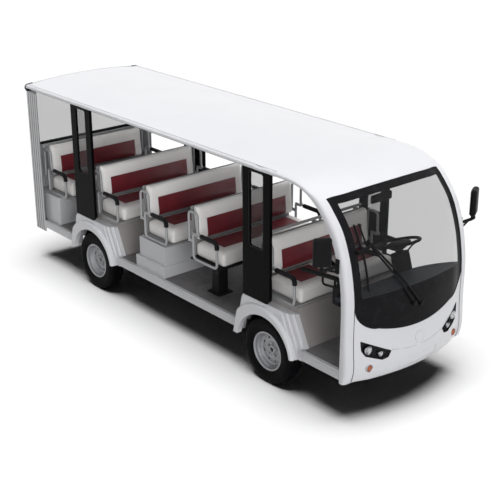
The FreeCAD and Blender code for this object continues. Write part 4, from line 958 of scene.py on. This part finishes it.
def front_surface():
    """X of the nose and the windscreen as a smooth function of y and z.

    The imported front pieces' points that face forward are fitted by the sum of
    a_ij * y^(2i) * z^j, with z counted from 1.1 m, leaving out those in recesses. What the
    sum misses at the points is added back as a mean weighted by 1 / (distance^2 + 4 mm^2)^2.
    """
    meshes = [NODES[name].data for name in ("front_cowl", "windscreen_band", "windscreen_glass",
                                            "front_pillars")]
    co = np.concatenate([read_all(mesh.vertices, "co", 3) for mesh in meshes])
    facing = np.concatenate([read_all(mesh.vertices, "normal", 3) for mesh in meshes])[:, 0]
    co = co[(facing > FACES_FORWARD) & (np.abs(co[:, 1]) < SEAM_Y + FIT_MARGIN) & (co[:, 0] > NOSE_FROM_X)]

    def terms(y, z):
        """Each y^(2i) * z^j of the sum."""
        y, z = np.asarray(y, float) / SEAM_Y, np.asarray(z, float) - FIT_MIDDLE_Z
        return np.stack([y ** (2 * i) * z ** j for i in range(FIT_Y_POWERS) for j in range(FIT_Z_POWERS)],
                        axis=-1)

    weights = np.ones(len(co))
    for _ in range(FIT_ROUNDS):
        a = terms(co[:, 1], co[:, 2]) * weights[:, None]
        factors = np.linalg.lstsq(a, co[:, 0] * weights, rcond=None)[0]
        miss = co[:, 0] - terms(co[:, 1], co[:, 2]) @ factors
        weights = np.where(miss < -RECESS_DEPTH, RECESS_WEIGHT, 1.0)
    kept = weights == 1.0
    places, miss = co[kept, 1:], miss[kept]

    def surface(y, z):
        """X at each y and z: the sum and the mean miss of the points near by."""
        square = ((placed(y, z)[..., None, :] - places) ** 2).sum(axis=-1)
        near = 1 / (square + NEAR ** 2) ** 2
        return terms(y, z) @ factors + (near * miss).sum(axis=-1) / near.sum(axis=-1)

    return surface


def on_front(front_x, loop, proud=0.0):
    """Front-view (y, z) points laid on the nose, a little proud of it along x."""
    y, z = np.asarray(loop, float).T
    return placed(front_x(y, z) + proud, y, z)


def lamp_dish(front_x, shares, depths):
    """Dish inside the lamp outline: ring k is the outline drawn in by a share and set back by a depth."""
    outline = along_edges(LAMP_CORNERS, 14)
    middle = np.mean(LAMP_CORNERS, axis=0)
    rows = [on_front(front_x, middle + (outline - middle) * share, -depth)
            for share, depth in zip(shares, depths)]
    return np.array(rows), grid_faces(len(rows), len(outline), close_cols=True)


def headlamp_units(front_x):
    """Each headlamp: black well, two plated bowls with bulbs, clear cover and a rubber frame.

    A bowl of radius r is a turned parabola, 26 mm * (1 - k^2) deep at k * r from its axis.
    """
    hollow = lamp_dish(front_x, (0.995, 0.985, 0.93, 0.90, 0.45, 0.0),
                       (0.001, 0.012, 0.030, 0.034, 0.036, 0.036))
    cover = lamp_dish(front_x, (0.99, 0.97, 0.7, 0.4, 0.0), (0.0012, 0.0004, 0, 0, 0))
    outline = on_front(front_x, along_edges(LAMP_CORNERS, 14), 0.0002)
    frame_strip = carried(outline, strip_section(0.007, 0.0022), (1.0, 0.0, 0.0), closed=True)
    bowls, bulbs = [], []
    for y, z, r in LAMP_BOWLS:
        centre = (float(front_x(y, z)) - BOWL_SET_BACK, y, z)
        dish = [(r * k, -BOWL_DEPTH * (1 - k * k)) for k in np.linspace(0.12, 1.0, 12)]
        rim = [(r * 1.07, 0.002), (r * 1.12, -0.002), (r * 1.12, -0.030), (r * 0.12, -0.030)]
        bowls.append(turned(dish + rim, centre, (1, 0, 0), ring=True))
        bulbs.append(turned([(r * 0.30, -0.025), (r * 0.30, -0.016), (r * 0.22, -0.010), (0, -0.007)],
                            centre, (1, 0, 0), 24))
    well = put_mesh("headlamp_wells", both_ways(hollow), LAMP_BLACK)
    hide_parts("headlamps")
    put_mesh("headlamp_bowls", both_ways(*bowls), CHROME)
    put_mesh("headlamp_bulbs", both_ways(*bulbs), BULB)
    put_mesh("headlamp_covers", both_ways(cover), COVER)
    put_mesh("headlamp_frames", both_ways(frame_strip), TRIM)


def nose_trim(front_x):
    """Bezels of the amber lamps, the seams beside the nose panel, and grey strips along its crease, round
    its plate area and round its badge boss that are painted shade.
    """
    y, z, r = INDICATOR
    bezel = turned([(r + 0.0005, -0.012), (r + 0.0005, 0.006), (r + 0.002, 0.007), (r + 0.004, 0.005),
                    (r + 0.005, -0.014)], (float(front_x(y, z)), y, z), (1, 0, 0), ring=True)
    put_mesh("indicator_bezels", both_ways(bezel), GREY_PAINT)
    # The grey strips below are painted shade: they draw the shading of the crease, the plate area and the
    # badge boss as lines.
    shade_strip_section = strip_section(0.004, 0.0015)
    turn = np.linspace(0, 2 * np.pi, 72, endpoint=False)
    boss = placed(BOSS_R * np.cos(turn), BOSS_Z + BOSS_R * np.sin(turn))
    crease = on_front(front_x, arc_points(*CREASE, 70), -0.0012)
    plate = on_front(front_x, along_edges(PLATE_AREA, 16), -0.0012)
    shade_strips = joined(carried(crease, strip_section(0.011, 0.0016), (1.0, 0, 0.1)),
                     carried(plate, shade_strip_section, (1.0, 0, 0), closed=True),
                     carried(on_front(front_x, boss, -0.0002), shade_strip_section, (1.0, 0, 0), closed=True))
    put_mesh("nose_painted_shade_strips", shade_strips, NOSE_SHADE)
    seam_line = placed(SEAM_Y - 0.0012, np.linspace(0.366, 1.018, 60))
    seam = carried(on_front(front_x, seam_line, 0.0003), strip_section(0.0056, 0.0022), (0.85, 0.5, 0.0))
    put_mesh("nose_seams", both_ways(seam), SEAM)


def windscreen_rubber(front_x):
    """Rubber bead round the windscreen and its black band."""
    inner = SEAM_Y - 0.004
    flip = np.array([-1.0, 1.0])
    head = arc_points((-inner, 1.843), (0, 1.880), (inner, 1.843), 40)
    left = placed(inner, np.linspace(1.80, 1.06, 20))
    down = arc_points((inner, 1.020), (0.585, 0.886), (0.429, 0.815), 20)
    foot = arc_points((0.430, 0.814), (0, 0.754), (-0.430, 0.814), 40)
    loop = np.concatenate([head, left, down, foot[1:-1], down[::-1] * flip, left[::-1] * flip])
    path = on_front(front_x, loop, -0.0008)
    bead = carried(path, round_section(0.0042, 10), (1.0, 0.0, 0.35), closed=True)
    put_mesh("windscreen_rubber", bead, TRIM)


# ---- sides, roof and mirrors ------------------------------------------------------------
def side_window_rubbers():
    """Rubber bead round each side panel's window."""
    beads = []
    for x0, x1 in WINDOW_PANEL_X:
        loop = rounded_loop((x1 - x0) / 2 - WINDOW_FRAME_W, WINDOW_HALF_H, 0.024)
        path = placed((x0 + x1) / 2 + loop[:, 0], WINDOW_BEAD_Y, WINDOW_MIDDLE_Z + loop[:, 1])
        beads.append(carried(path, strip_section(0.010, 0.003), (0.0, 1.0, 0.0), closed=True))
    put_mesh("side_window_rubbers", both_ways(*beads), TRIM)


def roof_trim():
    """Seals under the roof's edges, rubber caps on its tail corners, and grey beads along the crease of
    each side roll and across the tail, which are painted shade lines.

    The bead across the tail follows z = top - drop * (y / seam)^2.
    """
    seal = placed(np.linspace(ROOF_TAIL_X + 0.004, ROOF_SIDE_FRONT_X, 40), 0.7235, ROOF_EDGE_Z - 0.0015)
    put_mesh("roof_edge_seals", both_ways(carried(seal, round_section(0.0038, 8), (0, 0, 1))), TRIM)
    roll = [(0.640, 1.9585), (0.672, 1.9560), (0.7005, 1.9530), (0.719, 1.9465), (0.7285, 1.934),
            (0.7305, 1.925), (0.7305, 1.908)]
    corner = [(ROOF_TAIL_X + 0.002, y, z) for y, z in roll]
    cap = carried(corner, strip_section(0.016, 0.005), (0.0, 0.7, 0.7))
    put_mesh("roof_end_caps", both_ways(cap), TRIM)
    # The grey beads are painted shade: they draw the shaded edge of the roof's side rolls and tail as thin
    # lines.
    section = round_section(0.0036, 8)
    crease_line = placed(np.linspace(ROOF_TAIL_X + 0.006, ROOF_SIDE_FRONT_X, 60), *ROOF_ROLL_CREASE)
    y = np.linspace(-0.66, 0.66, 50)
    tail = placed(ROOF_TAIL_X + 0.004, y, ROOF_TOP_Z - ROOF_TAIL_DROP * (y / SEAM_Y) ** 2)
    beads = joined(both_ways(carried(crease_line, section, (0.0, 0.5, 1.0))), carried(tail, section, (0, 0, 1)))
    put_mesh("roof_painted_shade_beads", beads, GREY_PAINT)


def mirror_glasses():
    """Plated mirror plates: turned ones in the door mirrors and a wide one inside.

    Each is a rounded loop drawn in by a share and moved out by a step, ring by ring.
    """
    angle = math.radians(MIRROR_TURN_DEG)
    out = np.array([math.cos(angle), math.sin(angle), 0.0])
    across = np.array([-math.sin(angle), math.cos(angle), 0.0])
    up = np.array([0.0, 0.0, 1.0])
    loop = rounded_loop(0.064, 0.107, 0.020)
    rows = [np.array(MIRROR_AT) - out * back + (across * loop[:, :1] + up * loop[:, 1:]) * share
            for share, back in ((1.0, 0.0265), (1.0, 0.0292), (0.97, 0.0300), (0.0, 0.0300))]
    door_plate = np.array(rows), grid_faces(4, len(loop), close_cols=True)
    wide = rounded_loop(0.111, 0.030, 0.010)
    rows = [placed(x, wide[:, 0] * share, INNER_MIRROR_Z + wide[:, 1] * share)
            for x, share in ((1.9905, 1.0), (1.9885, 1.0), (1.9880, 0.96), (1.9880, 0.0))]
    inner_plate = np.array(rows), grid_faces(4, len(wide), close_cols=True)
    put_mesh("mirror_plates", joined(both_ways(door_plate), inner_plate), MIRROR)


# ---- cab and tail -----------------------------------------------------------------------
ROCKERS_Y = -0.02 + 0.021 * np.arange(5)
PEDALS = ((0.16, 0.055), (0.32, 0.080))
PEDAL_HINGE = (2.30, 0.80)
PEDAL_FOOT = (2.16, 0.59)
PAD_FACE_X = 2.143
PAD_RIBS_Z = 0.566 + 0.012 * np.arange(5)


def driver_details():
    """Rocker switches on the dash and two pedals with ribbed pads; an arm drops by s^0.7."""
    rockers = [box_form((2.1485, y, 1.040), (0.006, 0.013, 0.019), 0.0015) for y in ROCKERS_Y]
    put_mesh("dash_rockers", joined(*rockers), PLASTIC)
    s = np.linspace(0, 1, 8)
    reach, drop = (end - start for start, end in zip(PEDAL_HINGE, PEDAL_FOOT))
    pedals = []
    for y, width in PEDALS:
        arm = placed(PEDAL_HINGE[0] + reach * s, y, PEDAL_HINGE[1] + drop * s ** 0.7)
        pedals.append(carried(arm, round_section(0.008, 8), (0.0, 1.0, 0.0)))
        pedals.append(box_form((PAD_FACE_X + 0.009, y, PEDAL_FOOT[1]), (0.016, width, 0.070), 0.004))
        pedals += [box_form((PAD_FACE_X, y, z), (0.004, width * 0.86, 0.005), 0.001) for z in PAD_RIBS_Z]
    put_mesh("pedals", joined(*pedals), PLASTIC)


def wheel_boss():
    """Deep moulded boss under the steering wheel's hub and the horn button's ring.

    The boss is an oval bowl, whose radius is the profile's times 1 + 0.16 cos 2t.
    """
    tilt = math.radians(STEERING_TILT_DEG)
    axis = (-math.cos(tilt), 0.0, math.sin(tilt))
    profile = [(0, -0.058), (0.048, -0.058), (0.066, -0.048), (0.104, -0.016), (0.110, -0.006),
               (0.102, 0.003), (0.060, 0.010), (0, 0.012)]
    boss = turned(profile, STEERING_HUB, axis, 64, lambda t: 1 + 0.16 * np.cos(2 * t))
    put_mesh("steering_boss", boss, PLASTIC, "steering_wheel")
    ring = turned([(0.0455, 0.0120), (0.0470, 0.0135), (0.0485, 0.0120), (0.0470, 0.0105)],
                  STEERING_HUB, axis, 64, ring=True)
    put_mesh("horn_ring", ring, TRIM, "steering_wheel")


def tail_details():
    """Hatch handle and hinges, plate screws, and ribs across the tail lamps."""
    handle = [box_form((TAIL_X - 0.006, 0.0, HANDLE_Z), (0.008, 0.150, 0.046), 0.0025),
              box_form((TAIL_X - 0.013, 0.0, HANDLE_Z), (0.010, 0.104, 0.020), 0.004)]
    put_mesh("hatch_handle", joined(*handle), PLASTIC)
    pin = placed(TAIL_X - 0.008, HINGE_Y + np.linspace(-0.05, 0.05, 6), HINGE_Z)
    leaf = (0.004, 0.090, 0.036)
    hinge = (carried(pin, round_section(0.007), (1.0, 0.0, 0.0)),
             box_form((TAIL_X - 0.0065, HINGE_Y, HINGE_Z - 0.022), leaf, 0.001),
             box_form((TAIL_X - 0.0025, HINGE_Y, HINGE_Z + 0.022), leaf, 0.001))
    put_mesh("hatch_hinges", both_ways(*hinge), GREY_PAINT)
    screw = turned([(0.006, 0), (0.006, 0.001), (0.004, 0.003), (0, 0.0034)],
                   (TAIL_X - 0.001, *PLATE_SCREW), (-1, 0, 0), 16)
    put_mesh("plate_screws", both_ways(screw), ZINC)
    ribs = [box_form((TAIL_X - 0.0045, TAIL_LAMP_Y, z), (0.004, 0.092, 0.0035), 0.001)
            for z in LAMP_RIBS_Z]
    put_mesh("tail_lamp_ribs", both_ways(*ribs), RED)


def fixings():
    """Bolts of the bench stand, the spring clamps and the battery tray."""
    up, down = (0, 0, 1), (0, 0, -1)
    stand_x = SEAT_ROWS[2] - 0.172
    stand = [(stand_x + dx, y + dy, FLOOR_TOP + 0.009) for y in (-0.47, 0.47) for dx in (-0.07, 0.07)
             for dy in (-0.068, 0.068)]
    clamps = [(axle + dx, side * SPRING_Y + dy, 0.362) for axle in (FRONT_AXLE_X, REAR_AXLE_X)
              for side in (1, -1) for dx in (-0.042, 0.042) for dy in (-0.022, 0.022)]
    tray = [(x, y, 0.240) for x in np.linspace(-0.58, 0.60, 7) for y in (-0.325, 0.325)]
    put_mesh("stand_bolts", repeated(bolt_form(0.008, 0.007, up), stand), STEEL)
    put_mesh("clamp_bolts", repeated(bolt_form(0.009, 0.008, up), clamps), ZINC)
    put_mesh("tray_bolts", repeated(bolt_form(0.008, 0.006, down), tray), ZINC)


# ---- studio -----------------------------------------------------------------------------
# Each lamp: the direction to it, the level that a facing white surface shows, and its spread.
FLOOR_LAMP = ((0.04, -0.04, 1.0), 1.02, 40)
VEHICLE_LAMPS = {
    "overhead_lamp": ((-0.20, 0.25, 1.0), 1.07, 50),
    "front_fill": ((0.95, -0.18, -0.06), 0.86, 60),
    "view_fill": ((0.85, -0.45, 0.18), 0.52, 60),
    "side_fill": ((0.05, -1.0, 0.10), 0.13, 70),
    "far_fill": ((-0.7, 0.8, 0.10), 0.22, 70),
}
FLOOR_HALF_SIZE = 40
FLOOR_BOUNCE = 0.32
SKY_AT_HORIZON = 0.0
SKY_OVERHEAD = 0.03
CAMERA_AT = (7.76627, -6.29767, 4.65275)
CAMERA_TURN = (math.pi / 2 - 0.38265, 0.00138, 2.43784 - math.pi / 2)
CAMERA_LENS_MM = 78.6
CAMERA_SENSOR_MM = 36


def lamp(name, toward, level, spread, lit, seen_in_gloss):
    """Broad distant lamp that lights one collection alone."""
    data = bpy.data.lights.new(name, "SUN")
    data.energy = level * math.pi
    data.angle = math.radians(spread)
    made = linked(name, data)
    made.rotation_euler = Vector(toward).to_track_quat("Z", "Y").to_euler()
    made.light_linking.receiver_collection = lit
    made.visible_glossy = seen_in_gloss


def studio_floor():
    """Floor that looks white, keeps the object's shadow and bounces back only a share of the light."""
    h = FLOOR_HALF_SIZE
    corners = [(-h, -h, 0), (h, -h, 0), (h, h, 0), (-h, h, 0)]
    floor = linked("studio_floor", new_mesh("studio_floor", corners, [(0, 1, 2, 3)]))
    cover = bpy.data.materials.new("studio_white")
    cover.use_nodes = True
    cover.node_tree.nodes.clear()
    tree = Tree(cover.node_tree)
    diffuse = tree.node("BsdfDiffuse")
    tree.join(tree.one_when_seen(FLOOR_BOUNCE), diffuse.inputs["Color"])
    tree.join(diffuse.outputs["BSDF"], tree.node("OutputMaterial").inputs["Surface"])
    floor.data.materials.append(cover)
    return floor


def studio_sky():
    """Sky that is white to look at, and lights the scene faintly from overhead."""
    world = bpy.data.worlds.new("studio_sky")
    bpy.context.scene.world = world
    world.use_nodes = True
    tree = Tree(world.node_tree)
    height = tree.axis("Z", tree.node("TexCoord").outputs["Generated"])
    light = tree.levels(height, 0.0, 1.0, SKY_AT_HORIZON, SKY_OVERHEAD)
    back = world.node_tree.nodes["Background"]
    tree.join(tree.one_when_seen(light), back.inputs["Strength"])
    tree.join((1.0, 1.0, 1.0, 1.0), back.inputs["Color"])


def studio():
    """Floor, sky, lamps and camera. The fill lamps light the vehicle and leave the floor alone."""
    vehicle = bpy.data.collections.new("vehicle_lit_by_fill")
    for piece in list(bpy.context.scene.objects):
        if piece.type == "MESH":
            vehicle.objects.link(piece)
    ground = bpy.data.collections.new("floor_lit_alone")
    ground.objects.link(studio_floor())
    studio_sky()
    lamp("floor_lamp", *FLOOR_LAMP, ground, True)
    for name, (toward, level, spread) in VEHICLE_LAMPS.items():
        lamp(name, toward, level, spread, vehicle, False)
    camera = linked("camera", bpy.data.cameras.new("camera"))
    camera.data.lens = CAMERA_LENS_MM
    camera.data.sensor_width = CAMERA_SENSOR_MM
    camera.location = CAMERA_AT
    camera.rotation_euler = CAMERA_TURN
    bpy.context.scene.camera = camera
    bpy.context.scene.view_settings.view_transform = "Standard"


dress_nodes()
benches()
wheels()
front_x = front_surface()
headlamp_units(front_x)
nose_trim(front_x)
windscreen_rubber(front_x)
side_window_rubbers()
roof_trim()
mirror_glasses()
driver_details()
wheel_boss()
tail_details()
fixings()
studio()
